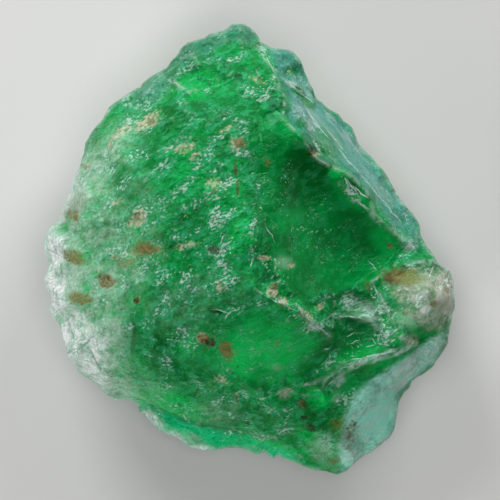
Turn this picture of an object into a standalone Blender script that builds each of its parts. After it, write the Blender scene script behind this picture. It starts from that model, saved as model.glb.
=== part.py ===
"""A rough emerald: one broken piece of green beryl, lying on the flat of its back with its best face up.

Places on the stone are given in picture pixels, x to the right and y down, and heights in millimetres
above the table. The model itself is in metres, +Z up, with its origin under the middle of the stone.
"""
import bmesh
import bpy
import numpy as np
from mathutils import kdtree, noise

# Driving dimensions
STONE_LENGTH = 0.028  # metres, from the top knob to the lower tip
MM = 0.001

# The mesh: divisions of the starting cube, and the shares of its points on the front and the side wall
DIVISIONS = 28
FRONT_SHARE = 0.55
WALL_SHARE = 0.15
PULL_WHOLE = 2.5  # pixels from a sharp ridge within which a point moves onto its crest
PULL_END = 7.5  # and beyond which it stays
WAIST_BULGE = 0.035  # how far the wall stands out past its top and bottom edges, as a share of the reach

THINNEST_WALL = 0.6  # millimetres from the front down to the back at the rim
FLAT_EDGE = 0.4  # millimetres of rise over which the back goes from its level rest to its rough break

# Cleavage: the flat chips that break up the rough faces
CHIP_COUNT = 420
CHIP_SEED = 11
CHIP_DEPTH = 0.45  # the most that a chip moves the surface, in millimetres
CHIP_STEP = 0.03  # how far apart, on the starting sphere, the surface is read to find a chip's slope

# Material
STONE_GREEN = (0.02, 0.30, 0.11, 1.0)
STONE_ROUGHNESS = 0.35
STONE_CLEARNESS = 0.4
BERYL_IOR = 1.58

# The outline seen from above, clockwise from the top knob
OUTLINE = (
    (232, 24), (245, 25), (252, 29.5), (258, 36), (260, 42), (265, 45), (270, 47.5), (279, 49),
    (287, 49), (293, 52), (299, 58), (303, 66), (306, 75), (309.5, 83), (314, 91), (317, 96.5),
    (323, 102), (331, 108), (339, 111.5), (342, 116.5), (348, 123), (353, 128), (355, 133),
    (358, 141.5), (365, 150), (371, 156), (377, 163.5), (384, 171), (389, 179), (394, 188),
    (400, 199), (407, 208), (416, 217.5), (420, 225.5), (420.5, 235), (426, 245.5), (434, 256),
    (437, 264), (443, 267), (450.5, 272.5), (453.5, 280), (453.5, 292.5), (455.5, 310), (452, 316.5),
    (450.5, 326), (448.5, 334), (448.5, 343.5), (443, 353), (437, 361), (432, 370.5), (425.5, 377),
    (414.5, 385), (405, 393.5), (399, 404), (397, 418), (395, 431), (390.5, 439), (385, 442.5),
    (380, 447), (372.5, 453), (364, 457), (358, 461.5), (352, 467), (347, 472.5), (342, 474.5),
    (339, 476.5), (331.5, 475.5), (323, 473), (313.5, 471), (305, 468.5), (299, 465.5), (290, 462.5),
    (283.5, 459.5), (279, 456), (276, 457.5), (274, 461.5), (268, 456), (264.5, 452.5), (261.5, 455),
    (256, 456), (250, 453.5), (243, 450.5), (227, 449.5), (213.5, 452), (206, 453), (196.5, 452),
    (190.5, 449.5), (184, 444), (177, 438.5), (169.5, 436), (160, 432), (154, 427.5), (149, 421.5),
    (144.5, 415.5), (138.5, 412), (136.5, 404.5), (130, 401), (114, 400.5), (106, 396), (100.5, 390),
    (95, 384), (84, 378.5), (78, 373), (76, 366), (68, 355.5), (64, 345), (60, 332.5), (57, 320.5),
    (52.5, 318), (49, 310), (50, 294), (46.5, 287), (44.7, 280), (49, 270), (50, 264), (45.5, 253),
    (44.7, 240), (49, 231), (54.5, 224), (60, 221.5), (63, 209), (67, 200), (68, 194.5), (72.5, 185),
    (76.5, 174), (79, 165), (83.5, 155), (84.5, 145), (90, 135.5), (96, 127.5), (103, 120.5),
    (107, 113), (109.5, 107.5), (119, 100.5), (131.5, 92.5), (141, 84.5), (147.5, 77.5), (155.5, 72.5),
    (164, 68.5), (170, 61.5), (175.5, 55), (182.5, 46), (189, 42), (203.5, 39), (211, 34.5), (224, 31),
    (229, 28.5),
)
CENTRE = (252.0, 258.0)  # every point of the outline can be seen from here

# Heights of the front in millimetres, as (x, y, height), one group for each form of the stone
FRONT_HEIGHTS = {
    "crown": ((255, 235, 13.2), (235, 190, 12.5), (256, 150, 11.5), (258, 286, 12.8), (222, 255, 12.8),
              (190, 215, 12.0), (182, 290, 11.7)),
    "rough face": ((150, 200, 10.9), (150, 258, 11.0), (120, 178, 9.5), (108, 228, 9.5), (100, 290, 9.2),
                   (140, 330, 9.9), (190, 130, 10.3), (150, 140, 9.4), (112, 140, 8.0), (82, 200, 7.9),
                   (72, 265, 7.8), (82, 330, 7.3), (112, 378, 6.3)),
    "top": ((230, 90, 9.2), (192, 80, 8.0), (245, 48, 7.3), (212, 52, 6.8), (262, 110, 9.9)),
    "rim": ((240, 26, 6.0), (190, 43, 5.6), (150, 77, 5.7), (108, 110, 5.8), (84, 150, 6.0),
            (68, 195, 6.1), (46, 240, 6.1), (46, 285, 5.8), (57, 320, 5.4), (78, 373, 4.8),
            (114, 400, 4.2), (150, 423, 3.3), (190, 449, 2.9), (230, 450, 2.9), (262, 455, 3.1),
            (305, 468, 3.2), (339, 476, 3.0), (372, 453, 3.3), (395, 430, 3.5), (405, 393, 3.8),
            (432, 370, 4.2), (448, 340, 4.7), (455, 310, 5.4), (450, 272, 5.6), (426, 245, 5.2),
            (416, 217, 4.7), (394, 188, 4.5), (365, 150, 4.5), (342, 116, 4.6), (314, 91, 4.9),
            (303, 66, 5.0), (287, 49, 5.2), (265, 45, 6.0)),
    "bevel lip": ((266, 63, 7.6), (275, 80, 8.5), (285, 107, 9.7), (283, 122, 10.4), (304, 145, 10.6),
                  (319, 163, 10.2), (346, 175, 9.4), (367, 200, 8.6), (384, 225, 7.6), (404, 240, 6.6)),
    "hollow": ((300, 172, 10.3), (322, 200, 9.5), (345, 230, 8.5), (350, 260, 8.0), (310, 240, 10.0),
               (288, 268, 11.5), (328, 285, 9.1), (375, 262, 7.1), (386, 245, 6.8), (278, 200, 11.7)),
    "main ridge": ((272, 298, 12.4), (297, 311, 11.3), (323, 332, 9.4)),
    "pool": ((350, 332, 7.8), (372, 338, 7.3), (346, 316, 8.2), (371, 318, 7.5)),
    "lower face": ((300, 338, 10.1), (268, 348, 10.3), (228, 340, 10.9), (200, 362, 9.6),
                   (250, 390, 8.3), (300, 385, 7.9), (215, 400, 7.3), (270, 420, 6.8),
                   (320, 420, 6.2), (340, 440, 5.2), (190, 408, 6.4), (160, 395, 6.4), (180, 340, 10.3)),
    "lower right": ((407, 348, 6.6), (367, 359, 7.2), (330, 376, 7.6), (418, 352, 6.0), (395, 373, 6.1),
                    (366, 391, 6.2), (392, 400, 4.8), (368, 430, 4.6)),
    "knob": ((420, 300, 8.3), (405, 281, 7.9), (440, 298, 7.4), (427, 326, 7.3), (402, 310, 7.8)),
}

RIDGE_SHARPNESS = 1.5  # 1 is a straight fall from the crest, and more is a sharper one
STEP_REACH = 6  # how many half widths away from its edge a step dies out
LUMP_FULLNESS = 1.3  # 1 is a pointed lump, and more is one with a broader top

# Sharp ridges: height in millimetres, half width in pixels, and the line of the crest
RIDGES = (
    (0.30, 12, ((262, 46), (266, 63), (274, 78), (282, 97), (285, 107), (281.6, 122), (291, 130),
                (298, 137), (304, 145), (311, 156), (319, 163), (336, 171), (346, 175), (357, 183.5),
                (365, 192), (368.6, 201), (372.5, 215), (384, 225.5), (395, 235), (404, 240), (418, 240))),
    (0.35, 9, ((286, 83), (298, 89), (307, 95.5), (316, 101))),
    (0.55, 17, ((256, 289), (266, 296), (276, 299), (287, 305), (297, 311), (304, 317.5), (314, 324),
                (323.5, 332), (329, 336))),
    (0.15, 9, ((317, 328), (321, 323), (327, 318), (334, 316), (346, 316.5), (357, 319), (371, 320))),
    (0.35, 9, ((371, 282), (378, 295), (384, 308), (390, 320), (396, 332), (401, 338.5))),
    (0.40, 9, ((401, 338.5), (413, 347), (424, 343), (437, 337), (450, 326))),
    (0.30, 8, ((371, 282), (383, 275), (395, 268), (410, 263), (437, 262))),
    (0.45, 13, ((413, 347), (396, 350), (384, 354), (367, 359), (352, 363), (338, 369), (327, 377),
                (300, 386))),
    (0.45, 12, ((449, 335), (429, 343), (418, 352), (408, 366), (395, 373.5), (380, 381), (366, 391),
                (356, 402), (345, 424), (339, 450))),
    (0.35, 9, ((158, 73), (172, 82), (181, 89), (189, 94))),
)

# Steps: drop in millimetres on the far side, half width in pixels, and the line of the edge
STEPS = (
    (0.7, 5, ((126, 396), (150, 404), (170, 412), (190, 419), (212, 425), (240, 432), (268, 440),
              (290, 450))),
    (0.35, 4, ((96, 318), (82, 334), (74, 350), (86, 366), (104, 384))),
    (0.3, 4, ((262, 300), (248, 308), (232, 306), (214, 312), (196, 306))),
    (0.3, 4, ((196, 388), (214, 382), (236, 386), (252, 396))),
)

# Scoops: centre, long and short half widths in pixels, turn in degrees, and depth in millimetres
SCOOPS = (
    ((350, 331), 31, 14, -12, 0.2),
    ((366, 306), 19, 9, 10, 0.25),
    ((291, 72), 10, 7, 20, 0.5),
    ((303, 98), 11, 6, -30, 0.4),
    ((316, 132), 14, 8, -55, 0.3),
    ((200, 82), 18, 10, -25, 0.45),
    ((312, 398), 13, 9, 20, 0.4),
    ((312, 426), 8, 6, 0, 0.35),
    ((376, 372), 20, 6, 25, 0.25),
)

# Lumps: centre, half width in pixels, and height in millimetres
LUMPS = (
    ((58, 243), 15, 0.55), ((60, 296), 14, 0.45), ((74, 350), 15, 0.4), ((74, 176), 12, 0.35),
    ((242, 38), 13, 0.5), ((444, 298), 14, 0.3), ((423, 290), 13, 0.25), ((275, 289), 8, 0.35),
    ((120, 148), 14, 0.3), ((250, 140), 12, 0.35), ((170, 236), 16, 0.3), ((208, 192), 15, 0.3),
    ((104, 322), 14, 0.3), ((350, 452), 12, 0.3),
)

# Faces whose break is smooth and glassy, as outlines: chips and roughness fade out inside them
SMOOTH_FACES = (
    ((258, 118), (280, 112), (292, 122), (312, 142), (328, 158), (354, 168), (374, 186), (400, 218),
     (412, 240), (396, 262), (372, 280), (340, 300), (304, 304), (280, 292), (264, 262), (250, 210),
     (246, 150)),
    ((262, 304), (296, 318), (322, 340), (330, 362), (296, 384), (256, 388), (222, 376), (190, 384),
     (168, 360), (186, 322), (226, 312)),
    ((402, 362), (428, 356), (412, 384), (396, 404), (392, 432), (366, 448), (348, 430), (362, 404)),
    ((300, 62), (312, 96), (346, 124), (366, 156), (394, 194), (418, 232), (398, 230), (372, 206),
     (350, 172), (322, 154), (304, 128), (296, 100)),
    ((378, 286), (398, 268), (440, 266), (462, 290), (460, 318), (440, 334), (416, 342), (400, 332)),
    ((414, 348), (396, 352), (367, 361), (338, 371), (326, 384), (340, 408), (356, 400), (368, 389),
     (396, 371), (418, 352)),
    ((318, 330), (334, 320), (357, 322), (374, 326), (388, 340), (392, 348), (366, 358), (344, 362),
     (326, 352)),
)
SMOOTH_EDGE = 9  # pixels over which the roughness fades

# The flats of the back: the way each one faces, counter-clockwise from the right, how far from the
# centre in pixels it starts to rise, and its slope in degrees
BACK_FLATS = (
    (8, 92, 27), (52, 78, 31), (97, 104, 33), (141, 84, 29), (183, 98, 33), (226, 90, 26),
    (262, 96, 19), (305, 104, 21), (338, 112, 28), (30, 150, 48), (162, 168, 52), (118, 170, 50),
)

# Roughness of the break: size of the bumps in millimetres, and their height in millimetres
ROUGHNESS = ((3.2, 0.30), (1.4, 0.16), (0.7, 0.07))
SMOOTH_ROUGHNESS = 0.22  # the share of it that the smooth faces keep


def pixel_metres():
    """Metres for one pixel, from the length of the stone."""
    rows = [y for _, y in OUTLINE]
    return STONE_LENGTH / (max(rows) - min(rows))


def outline_reach(angle):
    """How far the outline is from the centre, in pixels, at each angle counter-clockwise from the right."""
    corners = np.array(OUTLINE, float) - CENTRE
    angles = np.arctan2(-corners[:, 1], corners[:, 0])
    reach = np.hypot(corners[:, 0], corners[:, 1])
    order = np.argsort(angles)
    return np.interp(angle, angles[order], reach[order], period=2 * np.pi)


def fade(value):
    """A smooth rise from 0 to 1 while the value goes from 0 to 1."""
    value = np.clip(value, 0, 1)
    return value * value * (3 - 2 * value)


def line_distance(x, y, line):
    """For each point: its distance in pixels from a line, the nearest point of the line, and its side of it."""
    distance = np.full_like(x, np.inf)
    near_x, near_y, side = np.zeros_like(x), np.zeros_like(x), np.ones_like(x)
    for (ax, ay), (bx, by) in zip(line[:-1], line[1:]):
        length = (bx - ax) ** 2 + (by - ay) ** 2
        along = np.clip(((x - ax) * (bx - ax) + (y - ay) * (by - ay)) / length, 0, 1)
        foot_x, foot_y = ax + along * (bx - ax), ay + along * (by - ay)
        away = np.hypot(x - foot_x, y - foot_y)
        turn = (bx - ax) * (y - ay) - (by - ay) * (x - ax)
        closer = away < distance
        distance = np.where(closer, away, distance)
        near_x = np.where(closer, foot_x, near_x)
        near_y = np.where(closer, foot_y, near_y)
        side = np.where(closer, np.where(turn < 0, -1, 1), side)
    return distance, near_x, near_y, side


def inside_share(x, y, outline):
    """1 well inside an outline, falling to 0 at its edge."""
    closed = outline + outline[:1]
    inside = np.zeros(x.shape, bool)
    for (ax, ay), (bx, by) in zip(closed[:-1], closed[1:]):
        if ay != by:
            crosses = (ay > y) != (by > y)
            inside ^= crosses & (x < (bx - ax) * (y - ay) / (by - ay) + ax)
    return np.where(inside, fade(line_distance(x, y, closed)[0] / SMOOTH_EDGE), 0)


def smooth_share(x, y):
    """1 on the glassy faces and 0 on the rough ones."""
    return np.max([inside_share(x, y, face) for face in SMOOTH_FACES], axis=0)


def spline_through(spots):
    """A smooth surface through spots of (x, y, height): a thin plate bent over them."""
    spots = np.array(spots, float)

    def kernel(x, y):
        squared = (x[:, None] - spots[:, 0]) ** 2 + (y[:, None] - spots[:, 1]) ** 2
        return squared * np.log(squared + 1.0)

    count = len(spots)
    plane = np.column_stack((np.ones(count), spots[:, :2]))
    system = np.zeros((count + 3, count + 3))
    system[:count, :count] = kernel(spots[:, 0], spots[:, 1])
    system[:count, count:] = plane
    system[count:, :count] = plane.T
    weights = np.linalg.solve(system, np.append(spots[:, 2], np.zeros(3)))

    def height(x, y):
        level = weights[count] + weights[count + 1] * x + weights[count + 2] * y
        return kernel(x, y) @ weights[:count] + level

    return height


front_form = spline_through([spot for group in FRONT_HEIGHTS.values() for spot in group])


def front_height(x, y):
    """Height of the front in millimetres, with its ridges, steps, scoops and lumps."""
    height = front_form(x, y)
    for rise, width, line in RIDGES:
        slope = np.clip(1 - line_distance(x, y, line)[0] / width, 0, 1)
        height += rise * slope ** RIDGE_SHARPNESS
    for drop, width, line in STEPS:
        distance, _, _, side = line_distance(x, y, line)
        beyond = fade((distance * side + width) / (2 * width))
        height -= drop * beyond * fade(1 - distance / (STEP_REACH * width))
    for (at_x, at_y), long_half, short_half, turn, depth in SCOOPS:
        turn = np.radians(turn)
        along = ((x - at_x) * np.cos(turn) - (y - at_y) * np.sin(turn)) / long_half
        across = ((x - at_x) * np.sin(turn) + (y - at_y) * np.cos(turn)) / short_half
        height -= depth * np.clip(1 - along ** 2 - across ** 2, 0, 1)
    for (at_x, at_y), half, rise in LUMPS:
        height += rise * fade(LUMP_FULLNESS * (1 - np.hypot(x - at_x, y - at_y) / half))
    return height


def back_height(x, y):
    """Height of the back in millimetres: flats that rise from a level middle."""
    height = np.zeros_like(x)
    scale = pixel_metres() / MM
    for facing, start, slope in BACK_FLATS:
        turn = np.radians(facing)
        out = (x - CENTRE[0]) * np.cos(turn) - (y - CENTRE[1]) * np.sin(turn)
        height = np.maximum(height, (out - start) * scale * np.tan(np.radians(slope)))
    return height


def metres(x, y, height):
    """Pixels and millimetres to the model's own metres."""
    columns = [px for px, _ in OUTLINE]
    rows = [py for _, py in OUTLINE]
    middle_x = (max(columns) + min(columns)) / 2
    middle_y = (max(rows) + min(rows)) / 2
    scale = pixel_metres()
    return np.column_stack(((x - middle_x) * scale, (middle_y - y) * scale, height * MM))


def drawn_to_ridges(x, y):
    """Moves the points near a sharp ridge onto its crest, so that the edges of the mesh follow it."""
    for _, _, line in RIDGES:
        distance, crest_x, crest_y, _ = line_distance(x, y, line)
        pull = fade((PULL_END - distance) / (PULL_END - PULL_WHOLE))
        x = x + (crest_x - x) * pull
        y = y + (crest_y - y) * pull
    return x, y


def surface(directions):
    """For directions on a sphere: the points of the stone in metres, how rough its break is there, from 0
    on the glassy faces to 1, and how free the point is to move, which is 0 where the stone rests."""
    down = (1 - directions[:, 2]) / 2
    angle = np.arctan2(directions[:, 1], directions[:, 0])
    wall_end = FRONT_SHARE + WALL_SHARE
    along_wall = np.clip((down - FRONT_SHARE) / WALL_SHARE, 0, 1)
    front = np.sqrt(np.clip(down / FRONT_SHARE, 0, 1))
    back = np.sqrt(np.clip((1 - down) / (1 - wall_end), 0, 1))
    share = np.where(down < FRONT_SHARE, front, back)
    share = share * (1 - WAIST_BULGE * (2 * along_wall - 1) ** 2)
    reach = outline_reach(angle) * share
    x = CENTRE[0] + reach * np.cos(angle)
    y = CENTRE[1] - reach * np.sin(angle)
    x, y = drawn_to_ridges(x, y)
    height = np.where(down < wall_end, front_height(x, y), 0)
    bottom = back_height(x, y)
    free = np.where(down < wall_end, 1, fade(bottom / FLAT_EDGE))
    bottom = np.minimum(bottom, np.where(down < wall_end, height - THINNEST_WALL, np.inf))
    height = height + (bottom - height) * along_wall
    rough = np.where(down < FRONT_SHARE, 1 - smooth_share(x, y), 1)
    return metres(x, y, height), rough, free


def chips():
    """Seeds of the flat chips: a point of the surface and the way the chip faces."""
    random = np.random.default_rng(CHIP_SEED)
    ways = random.normal(size=(CHIP_COUNT, 3))
    ways /= np.linalg.norm(ways, axis=1)[:, None]
    side = np.cross(ways, random.normal(size=(CHIP_COUNT, 3)))
    side /= np.linalg.norm(side, axis=1)[:, None]
    other = np.cross(ways, side)
    corners = [surface(ways + CHIP_STEP * way)[0] for way in (side, other, -side, -other)]
    facing = np.cross(corners[0] - corners[2], corners[1] - corners[3])
    facing /= np.linalg.norm(facing, axis=1)[:, None]
    return sum(corners) / 4, facing


def chip_shift(points, seeds, facing):
    """The move that puts each point on the flat of its nearest chip."""
    tree = kdtree.KDTree(len(seeds))
    for index, seed in enumerate(seeds):
        tree.insert(seed, index)
    tree.balance()
    nearest = [tree.find(point)[1] for point in points]
    away = np.einsum("ij,ij->i", seeds[nearest] - points, facing[nearest])
    return facing[nearest] * np.clip(away, -CHIP_DEPTH * MM, CHIP_DEPTH * MM)[:, None]


def bumps(points):
    """Height of the rough break at each point, in metres."""
    total = np.zeros(len(points))
    for size, rise in ROUGHNESS:
        places = points / (size * MM)
        total += rise * MM * np.array([noise.noise(place) for place in places])
    return total


def turn_edges(mesh):
    """Cuts the mesh into triangles whose edges run along its ridges and not across them."""
    shape = bmesh.new()
    shape.from_mesh(mesh)
    bmesh.ops.triangulate(shape, faces=shape.faces[:])
    bmesh.ops.beautify_fill(shape, faces=shape.faces[:], edges=shape.edges[:], method="ANGLE")
    shape.to_mesh(mesh)
    shape.free()


def keep_within(points):
    """Holds the points inside the outline and above the table."""
    centre = metres(np.array([CENTRE[0]]), np.array([CENTRE[1]]), np.array([0.0]))[0]
    out = points[:, :2] - centre[:2]
    limit = outline_reach(np.arctan2(out[:, 1], out[:, 0])) * pixel_metres()
    over = np.maximum(np.linalg.norm(out, axis=1) / limit, 1)
    points[:, :2] = centre[:2] + out / over[:, None]
    points[:, 2] = np.maximum(points[:, 2], 0)
    return points


def sphere_mesh():
    """A cube cut into a grid, and the direction on a sphere of each of its points."""
    mesh = bpy.data.meshes.new("rough_emerald")
    shape = bmesh.new()
    bmesh.ops.create_cube(shape, size=2)
    bmesh.ops.subdivide_edges(shape, edges=shape.edges[:], cuts=DIVISIONS - 1, use_grid_fill=True)
    shape.to_mesh(mesh)
    shape.free()
    cube = np.empty(len(mesh.vertices) * 3)
    mesh.vertices.foreach_get("co", cube)
    cube = np.tan(cube.reshape(-1, 3) * np.pi / 4)
    return mesh, cube / np.linalg.norm(cube, axis=1)[:, None]


def stone_mesh():
    """The whole stone: its form, then its flat chips, then its bumps."""
    mesh, directions = sphere_mesh()
    points, rough, free = surface(directions)
    seeds, facing = chips()
    points += chip_shift(points, seeds, facing) * (rough * free)[:, None]
    mesh.vertices.foreach_set("co", points.ravel())
    mesh.update()
    normals = np.array([vertex.normal for vertex in mesh.vertices])
    share = SMOOTH_ROUGHNESS + (1 - SMOOTH_ROUGHNESS) * rough
    points += normals * (bumps(points) * share * free)[:, None]
    points = keep_within(points)
    mesh.vertices.foreach_set("co", points.ravel())
    mesh.update()
    turn_edges(mesh)
    return mesh


def emerald():
    """Cloudy green stone."""
    material = bpy.data.materials.new("emerald")
    material.use_nodes = True
    shader = material.node_tree.nodes["Principled BSDF"]
    shader.inputs["Base Color"].default_value = STONE_GREEN
    shader.inputs["Roughness"].default_value = STONE_ROUGHNESS
    shader.inputs["Metallic"].default_value = 0.0
    shader.inputs["Transmission Weight"].default_value = STONE_CLEARNESS
    shader.inputs["IOR"].default_value = BERYL_IOR
    return material


def main():
    for old in list(bpy.data.objects):
        bpy.data.objects.remove(old)
    parts = bpy.data.collections.new("rough emerald")
    bpy.context.scene.collection.children.link(parts)
    stone = bpy.data.objects.new("rough_emerald", stone_mesh())
    stone.data.materials.append(emerald())
    parts.objects.link(stone)


main()
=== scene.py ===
"""The looks of a rough emerald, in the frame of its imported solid: fine break, colour, light and camera.

The form repeats the solid's own: places in picture pixels, x to the right and y down, and heights in
millimetres above the table. The mesh is in metres, +Z up.
"""
import math

import bmesh
import bpy
import numpy as np
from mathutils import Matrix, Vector, kdtree, noise


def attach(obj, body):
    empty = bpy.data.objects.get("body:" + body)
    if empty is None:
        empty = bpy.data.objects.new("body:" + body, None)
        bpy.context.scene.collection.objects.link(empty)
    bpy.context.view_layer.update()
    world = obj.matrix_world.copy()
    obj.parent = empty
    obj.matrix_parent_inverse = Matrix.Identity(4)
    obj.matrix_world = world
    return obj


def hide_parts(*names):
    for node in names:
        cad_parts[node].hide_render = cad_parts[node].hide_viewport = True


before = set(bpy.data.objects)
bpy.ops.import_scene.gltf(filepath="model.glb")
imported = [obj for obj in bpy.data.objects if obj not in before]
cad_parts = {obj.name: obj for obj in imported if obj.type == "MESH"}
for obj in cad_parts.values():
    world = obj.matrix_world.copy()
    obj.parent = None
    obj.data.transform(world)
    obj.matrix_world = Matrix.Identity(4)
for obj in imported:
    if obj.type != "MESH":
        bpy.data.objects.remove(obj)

# Driving dimensions
STONE_LENGTH = 0.028  # metres, from the top knob to the lower tip
MM = 0.001

# The shares of the mesh's points on the front and the side wall
FRONT_SHARE = 0.55
WALL_SHARE = 0.15
PULL_WHOLE = 0.4  # pixels from a sharp ridge within which a point moves onto its crest
PULL_END = 1.6  # and beyond which it stays
WAIST_BULGE = 0.035  # how far the wall stands out past its top and bottom edges, as a share of the reach

THINNEST_WALL = 0.6  # millimetres from the front down to the back at the rim
FLAT_EDGE = 0.4  # millimetres of rise over which the back goes from its level rest to its rough break

# Cleavage: the flat chips that break up the rough faces
CHIP_COUNT = 420
CHIP_SEED = 11
CHIP_DEPTH = 0.45  # the most that a chip moves the surface, in millimetres
CHIP_STEP = 0.03  # how far apart, on the starting sphere, the surface is read to find a chip's slope

# Colours, as light values
FULL_GREEN = (0.0, 0.45, 0.08, 1)
MID_GREEN = (0.0, 0.27, 0.042, 1)
# Painted shade: the dark green of the dark marks, the dark flakes and the pits
SHADE_GREEN = (0.0, 0.095, 0.008, 1)
# Painted light: the bright green of the glow marks
GLOW_GREEN = (0.0, 0.9, 0.15, 1)
PALE_GREEN = (0.22, 0.52, 0.29, 1)
FROST_GREEN = (0.045, 0.48, 0.23, 1)
# The bevel's grey-teal, partly its own colour and partly painted sheen; laid on the top rim it is painted
# shade
BEVEL_TEAL = (0.115, 0.425, 0.39, 1)
STREAK_WHITE = (0.58, 0.78, 0.72, 1)
# The lower facet's mint, partly its own colour and partly painted light, since the lamps reach that facet
# little
MINT = (0.4, 1.0, 0.82, 1)
LEDGE_MINT = (0.0, 0.78, 0.3, 1)
KNOB_GREY = (0.37, 0.43, 0.34, 1)
KNOB_GREEN = (0.16, 0.27, 0.16, 1)
KNOB_BLUSH = (0.39, 0.36, 0.31, 1)
CRUST_WHITE = (0.66, 0.7, 0.68, 1)
CRACK_GREEN = (0.23, 0.38, 0.31, 1)
MILK_WHITE = (0.44, 0.62, 0.5, 1)
# Painted glints: the pale of tiny facets catching the light, laid as flecks, threads and chips' edges
GLINT_WHITE = (0.52, 0.7, 0.6, 1)
OLIVE_STAIN = (0.15, 0.15, 0.03, 1)
CREAM_STAIN = (0.42, 0.4, 0.29, 1)
TAN_STAIN = (0.24, 0.21, 0.12, 1)
HAZE_TEAL = (0.33, 0.68, 0.54, 1)
SEAM_GREEN = (0.21, 0.36, 0.29, 1)
BROWN_STAIN = (0.07, 0.036, 0.01, 1)
RUST_STAIN = (0.2, 0.155, 0.055, 1)
BLACK_SPECK = (0.025, 0.01, 0.008, 1)
INNER_GREEN = (0.0, 0.82, 0.46, 1)
INNER_DENSITY = 420.0

# The shader's plain settings. Light that goes a little way into the stone before it comes back is green,
# which the specular tint stands for.
SURFACE = {
    "IOR": 1.58,
    "Specular IOR Level": 0.1,
    "Specular Tint": (0.15, 0.6, 0.36, 1),
    "Subsurface Weight": 0.15,
    "Subsurface Radius": (0.5, 1.0, 0.7),
    "Subsurface Scale": 0.0006,
}
BUMP_STRENGTH = 0.85
BUMP_DEPTH = 0.00015  # metres
SHARP_ANGLE = 50  # degrees between two faces from which their edge stays sharp

# Settings of the studio and the camera
FLOOR_SIZE = 4.0
FLOOR_GAP = 0.00005
FLOOR_COLOUR = (0.56, 0.56, 0.55, 1)
FLOOR_DULLNESS = 0.8
HORIZON = (1.0, 1.0, 1.0, 1)
ZENITH = (0.04, 0.04, 0.045, 1)
SKY_HEIGHTS = (0.25, 0.8)  # where the horizon's white starts to fade, and where the zenith's grey is full
WORLD_STRENGTH = 0.36
LIGHT_AIM_HEIGHT = 0.006
# The soft lights: name, place and size in metres, and power in watts
LIGHTS = (
    ("key", (-0.1, 0.22, 0.13), 0.12, 0.6),
    ("right", (0.13, 0.21, 0.11), 0.12, 0.47),
    ("above", (0.02, -0.04, 0.4), 0.25, 0.5),
    ("low left", (-0.16, -0.2, 0.11), 0.12, 0.4),
)
LENS = 400.0
SENSOR = 36.0
NEAREST = 0.01
FARTHEST = 10
PICTURE_SIDE = 500
WAIST_HEIGHT = 0.005

# The outline seen from above, clockwise from the top knob
OUTLINE = (
    (232, 24), (245, 25), (252, 29.5), (258, 36), (260, 42), (265, 45), (270, 47.5), (279, 49),
    (287, 49), (293, 52), (299, 58), (303, 66), (306, 75), (309.5, 83), (314, 91), (317, 96.5),
    (323, 102), (331, 108), (339, 111.5), (342, 116.5), (348, 123), (353, 128), (355, 133),
    (358, 141.5), (365, 150), (371, 156), (377, 163.5), (384, 171), (389, 179), (394, 188),
    (400, 199), (407, 208), (416, 217.5), (420, 225.5), (420.5, 235), (426, 245.5), (434, 256),
    (437, 264), (443, 267), (450.5, 272.5), (453.5, 280), (453.5, 292.5), (455.5, 310), (452, 316.5),
    (450.5, 326), (448.5, 334), (448.5, 343.5), (443, 353), (437, 361), (432, 370.5), (425.5, 377),
    (414.5, 385), (405, 393.5), (399, 404), (397, 418), (395, 431), (390.5, 439), (385, 442.5),
    (380, 447), (372.5, 453), (364, 457), (358, 461.5), (352, 467), (347, 472.5), (342, 474.5),
    (339, 476.5), (331.5, 475.5), (323, 473), (313.5, 471), (305, 468.5), (299, 465.5), (290, 462.5),
    (283.5, 459.5), (279, 456), (276, 457.5), (274, 461.5), (268, 456), (264.5, 452.5), (261.5, 455),
    (256, 456), (250, 453.5), (243, 450.5), (227, 449.5), (213.5, 452), (206, 453), (196.5, 452),
    (190.5, 449.5), (184, 444), (177, 438.5), (169.5, 436), (160, 432), (154, 427.5), (149, 421.5),
    (144.5, 415.5), (138.5, 412), (136.5, 404.5), (130, 401), (114, 400.5), (106, 396), (100.5, 390),
    (95, 384), (84, 378.5), (78, 373), (76, 366), (68, 355.5), (64, 345), (60, 332.5), (57, 320.5),
    (52.5, 318), (49, 310), (50, 294), (46.5, 287), (44.7, 280), (49, 270), (50, 264), (45.5, 253),
    (44.7, 240), (49, 231), (54.5, 224), (60, 221.5), (63, 209), (67, 200), (68, 194.5), (72.5, 185),
    (76.5, 174), (79, 165), (83.5, 155), (84.5, 145), (90, 135.5), (96, 127.5), (103, 120.5),
    (107, 113), (109.5, 107.5), (119, 100.5), (131.5, 92.5), (141, 84.5), (147.5, 77.5), (155.5, 72.5),
    (164, 68.5), (170, 61.5), (175.5, 55), (182.5, 46), (189, 42), (203.5, 39), (211, 34.5), (224, 31),
    (229, 28.5),
)
CENTRE = (252.0, 258.0)  # every point of the outline can be seen from here

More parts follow.
